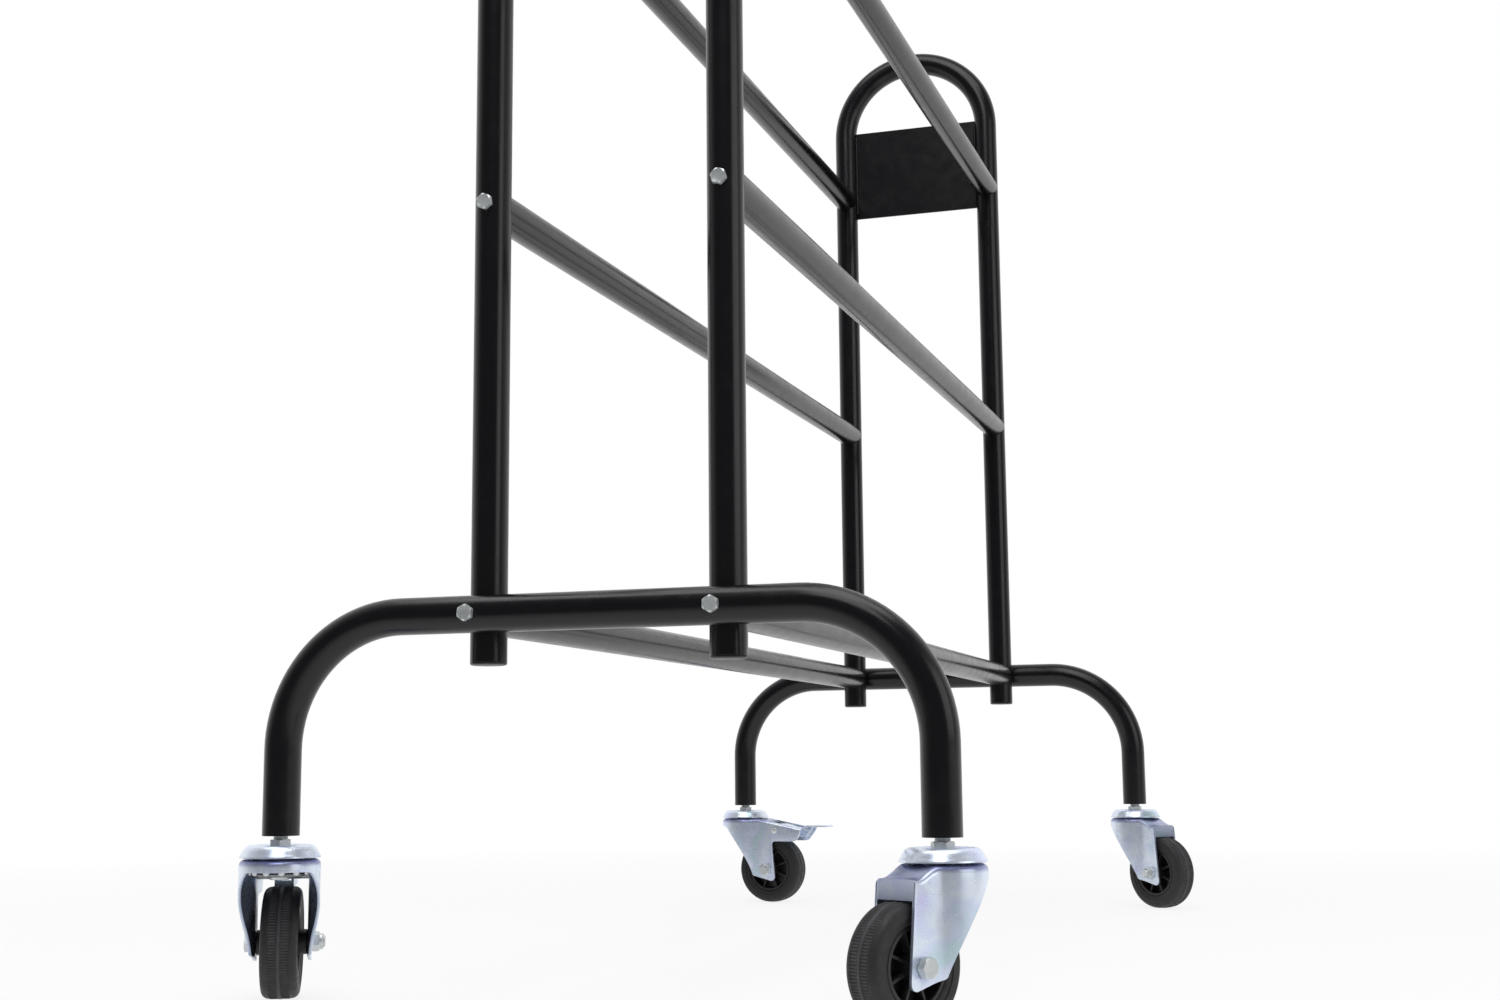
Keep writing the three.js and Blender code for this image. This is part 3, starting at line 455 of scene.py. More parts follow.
def carved(base, *steps):
    """Joins, keeps or takes away shapes in turn; a step is ('UNION', shape) and so on."""
    body = loose(base, "blank")
    tools = []
    for operation, shape in steps:
        tool = loose(shape, "tool")
        tools.append(tool)
        modifier = body.modifiers.new(operation, "BOOLEAN")
        modifier.operation = operation
        modifier.solver = "MANIFOLD"
        modifier.object = tool
    bpy.context.view_layer.update()
    graph = bpy.context.evaluated_depsgraph_get()
    mesh = bpy.data.meshes.new_from_object(body.evaluated_get(graph))
    result = bmesh.new()
    result.from_mesh(mesh)
    bpy.data.meshes.remove(mesh)
    for thing in [body, *tools]:
        used = thing.data
        bpy.data.objects.remove(thing)
        bpy.data.meshes.remove(used)
    bmesh.ops.remove_doubles(result, verts=result.verts, dist=SAME)
    return result


# Materials

CLEAR = (1.0, 1.0, 1.0)


def new_material(name):
    """A node material, its tree and its main shader."""
    material = bpy.data.materials.new(name)
    material.use_nodes = True
    return material, material.node_tree, material.node_tree.nodes["Principled BSDF"]


def noise(tree, scale, detail=3.0, distortion=0.0):
    """A cloudy pattern in the piece's own space."""
    place = tree.nodes.get("Place") or tree.nodes.new("ShaderNodeTexCoord")
    place.name = "Place"
    texture = tree.nodes.new("ShaderNodeTexNoise")
    texture.inputs["Scale"].default_value = scale
    texture.inputs["Detail"].default_value = detail
    texture.inputs["Distortion"].default_value = distortion
    tree.links.new(place.outputs["Object"], texture.inputs["Vector"])
    return texture.outputs["Fac"]


def spread(tree, source, low, high, start=0.3, end=0.7):
    """Stretches a pattern onto a range of numbers."""
    node = tree.nodes.new("ShaderNodeMapRange")
    node.inputs["From Min"].default_value = start
    node.inputs["From Max"].default_value = end
    node.inputs["To Min"].default_value = low
    node.inputs["To Max"].default_value = high
    tree.links.new(source, node.inputs["Value"])
    return node.outputs["Result"]


def tinted(tree, source, stops):
    """Turns a pattern into colours; a stop is (position, colour)."""
    ramp = tree.nodes.new("ShaderNodeValToRGB")
    band = ramp.color_ramp
    while len(band.elements) < len(stops):
        band.elements.new(0.5)
    for element, (position, tint) in zip(band.elements, stops):
        element.position = position
        element.color = (*tint, 1)
    tree.links.new(source, ramp.inputs["Fac"])
    return ramp.outputs["Color"]


def bumped(tree, shader, source, strength, distance):
    """Roughens a shader's surface by a pattern."""
    bump = tree.nodes.new("ShaderNodeBump")
    bump.inputs["Strength"].default_value = strength
    bump.inputs["Distance"].default_value = distance
    tree.links.new(source, bump.inputs["Height"])
    tree.links.new(bump.outputs["Normal"], shader.inputs["Normal"])


def lighter(tint, factor):
    """A colour times a factor, kept within range."""
    return tuple(min(1.0, channel * factor) for channel in tint)


def shaded(material, source):
    """Multiplies a material's colour by another pattern."""
    tree = material.node_tree
    target = tree.nodes["Principled BSDF"].inputs["Base Color"]
    node = tree.nodes.new("ShaderNodeVectorMath")
    node.operation = "MULTIPLY"
    tree.links.new(target.links[0].from_socket, node.inputs[0])
    tree.links.new(source, node.inputs[1])
    tree.links.new(node.outputs["Vector"], target)


def shaded_where(material, mark, tint):
    """Multiplies a material's colour by a tint where the shape carries a mark."""
    tree = material.node_tree
    marked = tree.nodes.new("ShaderNodeAttribute")
    marked.attribute_name = mark
    shaded(material, tinted(tree, marked.outputs["Fac"], [(0.0, CLEAR), (1.0, tint)]))


def speckled(name, base, clouds, specks, gloss, grain):
    """A dark finish with paler specks, uneven gloss and a fine grain.

    Clouds holds a scale and a detail, and specks where they start and how much paler they are.
    Gloss holds a scale, a detail and two values of roughness, and grain a scale, a detail, a
    strength and a depth.
    """
    material, tree, shader = new_material(name)
    start, paler = specks
    stops = [(0.0, base), (start, base), (1.0, lighter(base, paler))]
    tree.links.new(tinted(tree, noise(tree, *clouds), stops), shader.inputs["Base Color"])
    tree.links.new(spread(tree, noise(tree, *gloss[:2]), *gloss[2:]), shader.inputs["Roughness"])
    bumped(tree, shader, noise(tree, *grain[:2]), *grain[2:])
    return material


def powder_coat():
    """Gloss black coat with a faint orange peel and a little dust."""
    rough = tubes().coat_roughness
    gloss, peel = (70, 5.0, rough, rough + 0.08), (520, 2.0, 0.07, 0.0002)
    material = speckled("black powder coat", tubes().coat, (42, 6.0), (0.62, 2.2), gloss, peel)
    shader = material.node_tree.nodes["Principled BSDF"]
    shader.inputs["Specular IOR Level"].default_value = 0.4
    return material


def tyre_rubber():
    """Matt black rubber, painted paler on the tread's ridges and middle rib as a highlight."""
    gloss, grain = (260, 4.0, 0.5, 0.68), (1500, 3.0, 0.15, 0.0002)
    material = speckled("tyre rubber", casters().rubber, (120, 6.0), (0.55, 2.0), gloss, grain)
    shaded_where(material, "ridge", (casters().ridge,) * 3)
    return material


def black_plastic():
    """Satin black plastic, slightly mottled."""
    gloss, grain = (300, 3.0, 0.34, 0.5), (1900, 2.0, 0.12, 0.0001)
    return speckled("black plastic", tubes().plug, (90, 4.0), (0.6, 1.7), gloss, grain)


def zinc_plate(name, tints, rough):
    """Bright zinc whose passivation drifts from one tint to the next, with fine rolling marks."""
    material, tree, shader = new_material(name)
    shader.inputs["Metallic"].default_value = 0.62
    places = (0.30, 0.40, 0.50, 0.60, 0.70)
    clouds = noise(tree, 26, 2.0, 0.8)
    tree.links.new(tinted(tree, clouds, list(zip(places, tints))), shader.inputs["Base Color"])
    duller = spread(tree, noise(tree, 60, 4.0), rough, rough + 0.1)
    tree.links.new(duller, shader.inputs["Roughness"])
    bumped(tree, shader, noise(tree, 420, 3.0), 0.05, 0.0002)
    return material


def fork_zinc():
    """Plating darkened inside the pressing as painted shade, and tinted violet over the crown and
    the plain roof, where the darkening is also painted shade under the cap.
    """
    size = casters()
    tints = (size.zinc_green, size.zinc, lighter(size.zinc, 1.12), size.zinc, size.zinc_violet)
    material = zinc_plate("zinc plate", tints, 0.22)
    shaded_where(material, "inside", size.inside_painted_shade)
    shaded_where(material, "roof", size.crown_violet_shade)
    tree, tint = material.node_tree, size.crown_violet_shade
    # A band just under the cap gets the violet tint with painted shade.
    split = tree.nodes.new("ShaderNodeSeparateXYZ")
    tree.links.new(tree.nodes["Place"].outputs["Object"], split.inputs["Vector"])
    crown = cart_middle().z + size.crown_top
    rise = spread(tree, split.outputs["Z"], 0.0, 1.0, start=crown - 0.008, end=crown + 0.002)
    band = [(0.0, CLEAR), (0.3, CLEAR), (0.6, tint), (0.84, tint), (0.9, CLEAR)]
    shaded(material, tinted(tree, rise, band))
    return material


def bolt_zinc():
    """The greyer zinc of bolts, nuts and stems."""
    steel = bolts().steel
    dull = lighter(steel, 0.86)
    return zinc_plate("bolt zinc", (dull, steel, steel, lighter(steel, 1.08), dull), 0.3)


def race_painted_shade():
    """Dark, blotched steel; its darkness is painted shade on the cups and cages under the crown."""
    material, tree, shader = new_material("race steel in painted shade")
    shader.inputs["Metallic"].default_value = 0.9
    dark = bolts().race_shade_colour
    clouds = tinted(tree, noise(tree, 150, 3.0), [(0.3, dark), (0.7, lighter(dark, 1.5))])
    tree.links.new(clouds, shader.inputs["Base Color"])
    tree.links.new(spread(tree, noise(tree, 240, 3.0), 0.3, 0.42), shader.inputs["Roughness"])
    return material


FINISHES = {
    "coat": (powder_coat, "black_coat"),
    "zinc": (fork_zinc, "zinc"),
    "bolt": (bolt_zinc, "zinc"),
    "race": (race_painted_shade, "zinc"),
    "rubber": (tyre_rubber, "tyre"),
    "plastic": (black_plastic, "black_plastic"),
}
MADE = {}


def finish_of(kind):
    """A finish's material, made once, and the slot that it fills."""
    make, slot = FINISHES[kind]
    if kind not in MADE:
        MADE[kind] = make()
    return MADE[kind], slot


def add_piece(name, shape, kind, body, replaced=(), crease=32, softened=0.0):
    """Links a finished piece to the frame; creases are sharp, and softened by a bevel if asked."""
    material, slot = finish_of(kind)
    mesh = bpy.data.meshes.new(name)
    shape.to_mesh(mesh)
    shape.free()
    mesh.shade_smooth()
    mesh.set_sharp_from_angle(angle=math.radians(crease))
    mesh.materials.append(material)
    piece = bpy.data.objects.new(name, mesh)
    bpy.context.scene.collection.objects.link(piece)
    if softened:
        modifier = piece.modifiers.new("Softened edges", "BEVEL")
        modifier.width = softened
        modifier.segments = 2
        modifier.limit_method = "ANGLE"
        modifier.angle_limit = math.radians(crease)
    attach(piece, body)
    if replaced:
        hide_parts(*replaced)
    return piece


# Frame tubes


def hoop_shape(end):
    """An arch from one open foot to the other, with its plate."""
    low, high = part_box(f"end_hoop_{end}")
    radius = tubes().diameter / 2
    x, y = (low.x + high.x) / 2, (low.y + high.y) / 2
    arch = (high.y - low.y) / 2 - radius
    shoulder = high.z - radius - arch
    rise = Vector((0, 0, shoulder - low.z))
    shape = bmesh.new()
    start = ring(shape, radius, tubes().sides, Matrix.Translation((x, y + arch, low.z)))
    pivot = (x, y, shoulder)
    top = bend(shape, run(shape, start, rise), pivot, (1, 0, 0), math.pi, tubes().bend_steps)
    last = run(shape, top, -rise)
    for edges in (start, last):
        open_end(shape, edges, Vector((0, 0, 1)))
    bmesh.ops.recalc_face_normals(shape, faces=shape.faces)
    return shape


def plate_box(end):
    """The two corners of the plate between an end's uprights."""
    hoop, rail = middle(f"end_hoop_{end}"), middle("rail_tier3_left")
    half = abs(rail.y - hoop.y) - tubes().diameter / 2
    low = rail.z - tubes().plate_drop
    sheet = Vector((tubes().plate_sheet / 2, 0, 0))
    bottom = Vector((hoop.x, hoop.y - half, low)) - sheet
    return bottom, Vector((hoop.x, hoop.y + half, low + tubes().plate_height)) + sheet


def bead_shape(start, end, radius):
    """A weld bead that swells once for each pass of the torch."""
    sides, trough = 8, 0.84
    steps = 2 * int((end - start).length / radius)
    shape = bmesh.new()
    edges = ring(shape, radius, sides, Matrix.Translation(start))
    first = edges
    for index in range(1, steps + 1):
        edges = run(shape, edges, (end - start) / steps)
        centre = start.lerp(end, index / steps)
        swell = 1.0 if index % 2 else trough
        for vert in ends_of(edges):
            away = (vert.co - centre).normalized()
            vert.co = centre + away * radius * swell
    bmesh.ops.edgeloop_fill(shape, edges=edges)
    bmesh.ops.edgeloop_fill(shape, edges=first)
    bmesh.ops.recalc_face_normals(shape, faces=shape.faces)
    return shape


def weld_shapes(end):
    """Beads in the four corners between the plate's faces and the uprights."""
    low, high = plate_box(end)
    inset = 3 * tubes().weld
    reach = 0.3 * tubes().weld
    shapes = []
    for x in (low.x - reach, high.x + reach):
        for y in (low.y + reach, high.y - reach):
            start = Vector((x, y, low.z + inset))
            shapes.append(bead_shape(start, Vector((x, y, high.z - inset)), tubes().weld))
    return shapes


def foot_shape(end):
    """A leg, a bend, the cross run and down again, dented where the uprights sit."""
    low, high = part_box(f"foot_tube_{end}")
    radius, sweep = tubes().diameter / 2, tubes().foot_bend
    x, y = (low.x + high.x) / 2, (low.y + high.y) / 2
    track = (high.y - low.y) / 2 - radius
    elbow = high.z - radius - sweep
    rise = Vector((0, 0, elbow - low.z))
    quarter = ((1, 0, 0), math.pi / 2, tubes().bend_steps // 2)
    strides = 120
    stride = Vector((0, -2 * (track - sweep) / strides, 0))
    shape = bmesh.new()
    start = ring(shape, radius, tubes().sides, Matrix.Translation((x, y + track, low.z)))
    edges = bend(shape, run(shape, start, rise), (x, y + track - sweep, elbow), *quarter)
    for _ in range(strides):
        edges = run(shape, edges, stride)
    edges = bend(shape, edges, (x, y - track + sweep, elbow), *quarter)
    last = run(shape, edges, -rise)
    press_saddles(shape, end)
    rim_share, lip, fold_share = 0.93, Vector((0, 0, 0.0005)), 0.5
    for edges in (start, last):
        rim = run(shape, narrow(shape, edges, rim_share), lip)
        bmesh.ops.edgeloop_fill(shape, edges=narrow(shape, rim, fold_share))
    bmesh.ops.recalc_face_normals(shape, faces=shape.faces)
    return shape


def press_saddles(shape, end):
    """Moves the tube's wall out of the uprights' way, along X."""
    hoop = middle(f"end_hoop_{end}")
    room = tubes().diameter / 2 + FIT
    outward = ENDS[end]
    for side in SIDES:
        upright = middle(f"rail_tier1_{side}").y
        for vert in shape.verts:
            across = vert.co.y - upright
            if abs(across) < room:
                reach = hoop.x + outward * math.sqrt(room**2 - across**2)
                if outward * (vert.co.x - reach) < 0:
                    vert.co.x = reach


def rail_shape(node):
    """A straight tube whose two ends are cut to the uprights' round."""
    place = middle(node)
    radius, seam = tubes().diameter / 2, 0.0001
    near, far = middle("end_hoop_near").x, middle("end_hoop_far").x
    lying = Matrix.Translation((near, place.y, place.z)) @ Matrix.Rotation(math.pi / 2, 4, "Y")
    shape = bmesh.new()
    start = ring(shape, radius, tubes().sides, lying)
    last = run(shape, start, Vector((far - near, 0, 0)))
    for vert in shape.verts:
        cope = math.sqrt(max(0, (radius + seam) ** 2 - (vert.co.y - place.y) ** 2))
        vert.co.x += cope if vert.co.x < place.x else -cope
    for edges in (start, last):
        bmesh.ops.edgeloop_fill(shape, edges=edges)
    bmesh.ops.recalc_face_normals(shape, faces=shape.faces)
    return shape


def plug_shape():
    """A push-in plug, seen as a softly rounded flange under the tube."""
    radius, axis = tubes().diameter / 2, 0.0005
    bore = radius - tubes().wall
    skirt, inside = bore - 0.0005, bore - 0.002
    flange, floor, depth = 0.0016, 0.0022, 0.0125
    return turned(
        [
            (axis, 0.0),
            (radius - 0.0016, 0.0),
            (radius - 0.0005, 0.0004),
            (radius, 0.0011),
            (radius, flange),
            (skirt, flange),
            (skirt, depth),
            (inside, depth),
            (inside, floor),
            (axis, floor),
        ],
        48,
    )


class CART_OT_end_hoops(bpy.types.Operator):
    """Makes the two arched uprights with their plates and weld beads"""

    bl_idname = "cart.end_hoops"
    bl_label = "End hoops"

    def execute(self, context):
        for end in ENDS:
            shape, node = merged(hoop_shape(end), block(*plate_box(end))), f"end_hoop_{end}"
            add_piece(f"uprights_{end}", shape, "coat", "frame", [node], softened=0.0003)
            welds = merged(*weld_shapes(end))
            add_piece(f"plate_welds_{end}", welds, "coat", "frame", crease=60)
        return {"FINISHED"}


class CART_OT_foot_tubes(bpy.types.Operator):
    """Makes the two bent foot tubes"""

    bl_idname = "cart.foot_tubes"
    bl_label = "Foot tubes"

    def execute(self, context):
        for end in ENDS:
            node = f"foot_tube_{end}"
            add_piece(f"foot_{end}", foot_shape(end), "coat", "frame", [node], crease=40)
        return {"FINISHED"}


class CART_OT_rails(bpy.types.Operator):
    """Makes the rails of all tiers"""

    bl_idname = "cart.rails"
    bl_label = "Rails"

    def execute(self, context):
        for node in sorted(name for name in frame["nodes"] if name.startswith("rail_")):
            add_piece(f"{node}_tube", rail_shape(node), "coat", "frame", [node])
        return {"FINISHED"}


class CART_OT_end_plugs(bpy.types.Operator):
    """Makes the plastic plugs under the uprights"""

    bl_idname = "cart.end_plugs"
    bl_label = "End plugs"

    def execute(self, context):
        for corner in CORNERS:
            node = f"end_plug_{corner}"
            place = middle(node)
            place.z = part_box(node)[0].z
            shape = placed(plug_shape(), Matrix.Translation(place))
            add_piece(f"{node}_moulding", shape, "plastic", "frame", [node])
        return {"FINISHED"}


# Bolts and nuts

CORNER_FALL = 0.0055  # how fast a hexagon's chamfered corners fall
HEAD_TURN = 0.31  # spreads the directions in which the frame bolts' heads stopped


def bolt_shape(across, height, shank, reach):
    """A bolt on Z: its head sits on the origin's plane and the shank runs down from it."""
    half, point, washer, dish = across / 2, 0.0006, 0.0003, 0.0003
    return hex_stack(
        [
            (-reach, shank / 2 - point),
            (-reach + point, shank / 2),
            (0.0, shank / 2),
            (0.0, half * 0.96),
            (washer, half * 0.97),
            (washer, half, -0.0002),
            (height, half, CORNER_FALL),
            (height, half * 0.92),
            (height - dish, half * 0.72),
        ]
    )


class CART_OT_frame_bolts(bpy.types.Operator):
    """Makes the hexagon bolts that hold the rails and foot tubes"""

    bl_idname = "cart.frame_bolts"
    bl_label = "Frame bolts"

    def execute(self, context):
        size = bolts()
        for node in sorted(name for name in frame["nodes"] if name.startswith("frame_bolt_")):
            low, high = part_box(node)
            outward = ENDS[node.split("_")[2]]
            seat = (high.x - size.head_height) if outward > 0 else (low.x + size.head_height)
            reach = high.x - low.x - size.head_height
            turn = Matrix.Rotation(HEAD_TURN * len(node) * low.z, 4, "Z")
            place = Matrix.Translation((seat, middle(node).y, middle(node).z))
            place = place @ Matrix.Rotation(outward * math.pi / 2, 4, "Y") @ turn
            shape = bolt_shape(size.head_width, size.head_height, size.shank, reach)
            add_piece(f"{node}_hex", placed(shape, place), "bolt", "frame", [node], crease=24)
        return {"FINISHED"}


def nut_shape():
    """A locking nut on Z, seat at the origin, with its collar and the bolt's thread end inside."""
    size = bolts()
    half, bore = size.nut_width / 2, size.axle_shank / 2 + 0.0004
    top, past = size.nut_height + size.nut_collar, 0.001
    outer = hex_stack(
        [
            (0.0, half * 0.94),
            (0.0, half * 0.95),
            (0.0, half, -CORNER_FALL),
            (size.nut_height, half, CORNER_FALL),
            (size.nut_height, half * 0.93),
            (top - 0.0006, half * 0.91),
            (top - 0.0001, half * 0.86),
            (top, half * 0.74),
        ]
    )
    return carved(outer, ("DIFFERENCE", rod((0, 0, -past), (0, 0, top + past), bore, 40)))


class CART_OT_axles(bpy.types.Operator):
    """Makes the axle bolts and their locking nuts"""

    bl_idname = "cart.axles"
    bl_label = "Axle bolts and nuts"

    def execute(self, context):
        size, stub, nut_turn = bolts(), 0.0012, 0.3
        flip = Matrix.Rotation(math.pi, 4, "X") @ Matrix.Rotation(nut_turn, 4, "Z")
        for corner in CORNERS:
            axle, body = axle_place(corner), f"swivel_{corner}"
            seat = half_width(corner in BRAKED) + size.seat
            tip = 2 * seat + size.nut_height + size.nut_collar + stub
            shape = bolt_shape(size.axle_width, size.axle_head, size.axle_shank, tip)
            shape = placed(shape, axle @ Matrix.Translation((0, 0, seat)))
            add_piece(f"axle_{corner}", shape, "bolt", body, [f"axle_bolt_{corner}"], crease=24)
            shape = placed(nut_shape(), axle @ Matrix.Translation((0, 0, -seat)) @ flip)
            add_piece(f"lock_nut_{corner}", shape, "bolt", body, [f"axle_nut_{corner}"], crease=24)
        return {"FINISHED"}


# Swivel heads

STEM_HOLE = 0.0053  # radius of the hole through cap and crown
CAP_DISH = 0.0013  # how far the cap's flat middle lies below its crest
RACE_BALL = 0.0024  # radius of the balls


def stem_shape(corner):
    """Rivet foot, hexagon and threaded stem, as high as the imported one."""
    low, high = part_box(f"caster_stem_{corner}")
    ground = cart_middle().z
    bottom, top = low.z - ground, high.z - ground
    cap_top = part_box(f"swivel_cap_{corner}")[1].z - ground - CAP_DISH
    half, fall = bolts().stem_hex / 2, 0.004
    hex_low, hex_high = cap_top + 0.0003, cap_top + 0.0048
    foot, shaft, root = 0.0092, 0.005, 0.0045
    levels = [
        (bottom - 0.0035, 0.0058),
        (bottom - 0.0032, 0.0068),
        (bottom - 0.0024, 0.0074),
        (bottom - 0.0012, 0.0076),
        (bottom - 0.0012, foot),
        (bottom + 0.0075, foot),
        (bottom + 0.0075, shaft),
        (hex_low, shaft),
        (hex_low, half * 0.96),
        (hex_low, half, -fall),
        (hex_high, half, fall),
        (hex_high, half * 0.93),
        (hex_high, root),
    ]
    level, threaded, pitch = hex_high + 0.0003, hex_high + 0.004, 0.00125
    while level < threaded:
        levels += [(level, root), (level + 0.0004, shaft), (level + 0.0006, shaft)]
        level += pitch
    return hex_stack(levels + [(top, shaft)])


def cap_shape(corner):
    """A flared saucer with a raised crest round a flat middle."""
    ground = cart_middle().z
    low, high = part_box(f"swivel_cap_{corner}")
    rim, crest = low.z - ground, high.z - ground
    flat = crest - CAP_DISH
    return turned(
        [
            (STEM_HOLE, flat - 0.0025),
            (0.0196, flat - 0.0025),
            (0.0216, flat - 0.0034),
            (0.0232, flat - 0.0050),
            (0.0246, rim + 0.0006),
            (0.0258, rim),
            (0.0267, rim),
            (0.0270, rim + 0.0002),
            (0.0270, rim + 0.0006),
            (0.0262, rim + 0.0018),
            (0.0254, rim + 0.0032),
            (0.0247, rim + 0.0046),
            (0.0239, rim + 0.0059),
            (0.0230, crest - 0.0014),
            (0.0219, crest - 0.0006),
            (0.0208, crest - 0.0001),
            (0.0199, crest),
            (0.0190, crest - 0.0003),
            (0.0181, crest - 0.0009),
            (0.0173, crest - 0.0012),
            (0.0165, flat),
            (0.0085, flat),
            (STEM_HOLE, flat),
        ],
        72,
    )


def ball_circle(radius, height, number):
    """Balls on a circle round the swivel axis."""
    shapes = []
    for index in range(number):
        turn = TURN * (index + 0.25) / number
        ball = bmesh.new()
        spot = Matrix.Translation((radius * math.cos(turn), radius * math.sin(turn), height))
        bmesh.ops.create_uvsphere(
            ball, u_segments=20, v_segments=12, radius=RACE_BALL, matrix=spot
        )
        shapes.append(ball)
    return shapes


def upper_race(corner):
    """Radius and height of the circle on which the upper balls run."""
    return casters().crown * 2 / 3, middle(f"ball_race_{corner}").z - cart_middle().z


def cage_shape(corner):
    """The pressed cage that spaces the upper balls."""
    radius, height = upper_race(corner)
    inner, outer, sheet = radius - 0.003, radius + 0.003, 0.0007
    low, high = height - sheet, height + sheet
    return turned([(inner, low), (outer, low), (outer, high), (inner, high)], 48)


def cup_shape(corner):
    """The cup on the stem in which the lower balls run."""
    level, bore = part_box(f"caster_stem_{corner}")[0].z - cart_middle().z, 0.0093
    cup = [
        (bore, level - 0.0012),
        (0.0168, level - 0.0012),
        (0.0182, level - 0.0009),
        (0.0190, level - 0.0001),
        (0.0192, level + 0.0006),
        (0.0187, level + 0.0006),
        (0.0180, level - 0.0001),
        (0.0166, level - 0.0005),
        (bore, level - 0.0005),
    ]
    return turned(cup, 60)


def balls_shape(corner):
    """The balls above and below the crown."""
    above = ball_circle(*upper_race(corner), casters().balls)
    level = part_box(f"caster_stem_{corner}")[0].z - cart_middle().z + 0.0019
    return merged(*above, *ball_circle(0.0193, level, casters().lower_balls))


HEAD = [
    ("stem", stem_shape, "bolt", "caster_stem", 24),
    ("cap", cap_shape, "zinc", "swivel_cap", 50),
    ("race_balls", balls_shape, "bolt", "ball_race", 32),
    ("race_cage", cage_shape, "race", None, 32),
    ("race_cup", cup_shape, "race", None, 32),
]


class CART_OT_swivel_heads(bpy.types.Operator):
    """Makes the stems, caps and ball races above the forks"""

    bl_idname = "cart.swivel_heads"
    bl_label = "Swivel heads"

    def execute(self, context):
        for corner in CORNERS:
            place = corner_place(corner)
            for name, make, kind, node, crease in HEAD:
                shape = placed(make(corner), place)
                replaced = [f"{node}_{corner}"] if node else ()
                add_piece(f"{name}_{corner}", shape, kind, "frame", replaced, crease)
        return {"FINISHED"}


# Forks

TIP_BEHIND = 0.0109  # the flank's lower tip, behind the axle
PIN_BEHIND, PIN_OVER = 0.0106, 0.044  # the brake pin, behind the axle and over it
SLOT_START = 0.036  # where the brake fork's slot starts, behind the swivel axis
ACROSS = 0.04  # cuts reach this far to each side, past every flank
OVER = 0.01  # and this far over the crown
PAST = 0.006  # and this far past a rear edge


def arc(centre, radius, start, end, steps):
    """Points along a circle, both ends among them."""
    turns = [start + (end - start) * index / steps for index in range(steps + 1)]
    return [(centre[0] + radius * math.cos(t), centre[1] + radius * math.sin(t)) for t in turns]


def curve(start, control, end, steps):
    """A smooth quadratic run from start to end, start left out."""
    points = []
    for index in range(1, steps + 1):
        t = index / steps
        a, b, c = (1 - t) ** 2, 2 * t * (1 - t), t**2
        points.append(tuple(a * s + b * m + c * e for s, m, e in zip(start, control, end)))
    return points


def half_width(brake):
    """From the middle of a fork to the outside of its flank."""
    return casters().brake_half if brake else casters().plain_half


def fork_plan(inset, rear, brake):
    """Round nose, hollow fillets and straight flanks to the rear, seen from above."""
    radius, half = casters().crown - inset, half_width(brake) - inset
    fillet = casters().brake_fillet if brake else casters().plain_fillet
    nose = (radius * math.cos(fillet), radius * math.sin(fillet))
    knee = (radius - half * math.sin(fillet)) / math.cos(fillet)
    arm = knee + math.hypot(knee - nose[0], half - nose[1])
    upper = [(rear, half), (arm, half)] + curve((arm, half), (knee, half), nose, 6)
    round_nose = arc((0, 0), radius, fillet, TURN - fillet, 40)[1:-1]
    lower = [(x, -y) for x, y in reversed(upper)]
    return upper + round_nose + lower


def tip_reach():
    """How far behind the swivel axis the flanks' lower tips reach."""
    return trail() + TIP_BEHIND


def pin_place():
    """Where the brake pin crosses the fork in side view."""
    return trail() + PIN_BEHIND, casters().wheel / 2 + PIN_OVER


def roof_fall(brake, reach):
    """How far the roof lies below the crown at a place behind the swivel axis."""
    size, lip, ease = casters(), 0.002, 0.008
    if not brake:
        part = (reach - size.roof_start) / (size.hood - lip - size.roof_start)
        part = min(1.0, max(0.0, part))
        return size.hood_drop * part * part * (3 - 2 * part)
    slope = size.wing_drop / (size.wing - size.roof_start - ease / 2)
    run_in = max(0.0, reach - size.roof_start)
    return slope * (run_in**2 / 2 / ease if run_in < ease else run_in - ease / 2)


def fork_blank(inset, brake, rear):
    """The pressing's outside, or its inside when inset by the sheet, as far back as asked."""
    size, bottom, tightest = casters(), -0.005, 0.001
    cuts, snap, slack = 16, 1e-7, 1e-5
    top, rounding = size.crown_top - inset, max(size.shoulder - inset, tightest)
    shape = prism(fork_plan(inset, rear, brake), bottom, top, "plan")
    rim = [e for e in shape.edges if min(v.co.z for v in e.verts) > top - SAME]
    round_edges(shape, [e for e in rim if min(v.co.x for v in e.verts) < rear - SAME], rounding, 5)
    for index in range(cuts):
        place = (size.roof_start + (rear - size.roof_start) * index / cuts, 0, 0)
        whole = [*shape.verts, *shape.edges, *shape.faces]
        bmesh.ops.bisect_plane(shape, geom=whole, dist=snap, plane_co=place, plane_no=(1, 0, 0))
    for vert in shape.verts:
        if vert.co.z > top - rounding - slack:
            vert.co.z -= roof_fall(brake, vert.co.x)
    return shape


def flank_front():
    """Side outline of the skirt and flank, from the front down to the rear of the lower tip."""
    size = casters()
    wheel, band = size.wheel / 2, size.crown_top - 0.0082
    brow, cheek = (-0.020, band), (-0.0125, band - 0.003)
    toe = (trail() - 0.0164, wheel - 0.0065)
    tip = (tip_reach(), wheel - 0.013)
    bow = ((toe[0] - 0.014) / 2 + 0.0076, (band + toe[1]) / 2)
    points = [(-ACROSS, size.crown_top + OVER), (-ACROSS, band), brow]
    points += curve(brow, (-0.0155, band), cheek, 5)
    points += curve(cheek, bow, toe, 10)
    points += [(toe[0] + 0.0012, toe[1] - 0.001), (tip[0] - 0.005, tip[1])]
    return points + curve(points[-1], tip, (tip[0], tip[1] + 0.005), 6)


def slant(height):
    """How far back the flank's rear edge stands at a height."""
    size = casters()
    top, low = size.crown_top - size.hood_drop, size.wheel / 2 - 0.008
    return size.hood + (top - height) / (top - low) * (tip_reach() - size.hood)


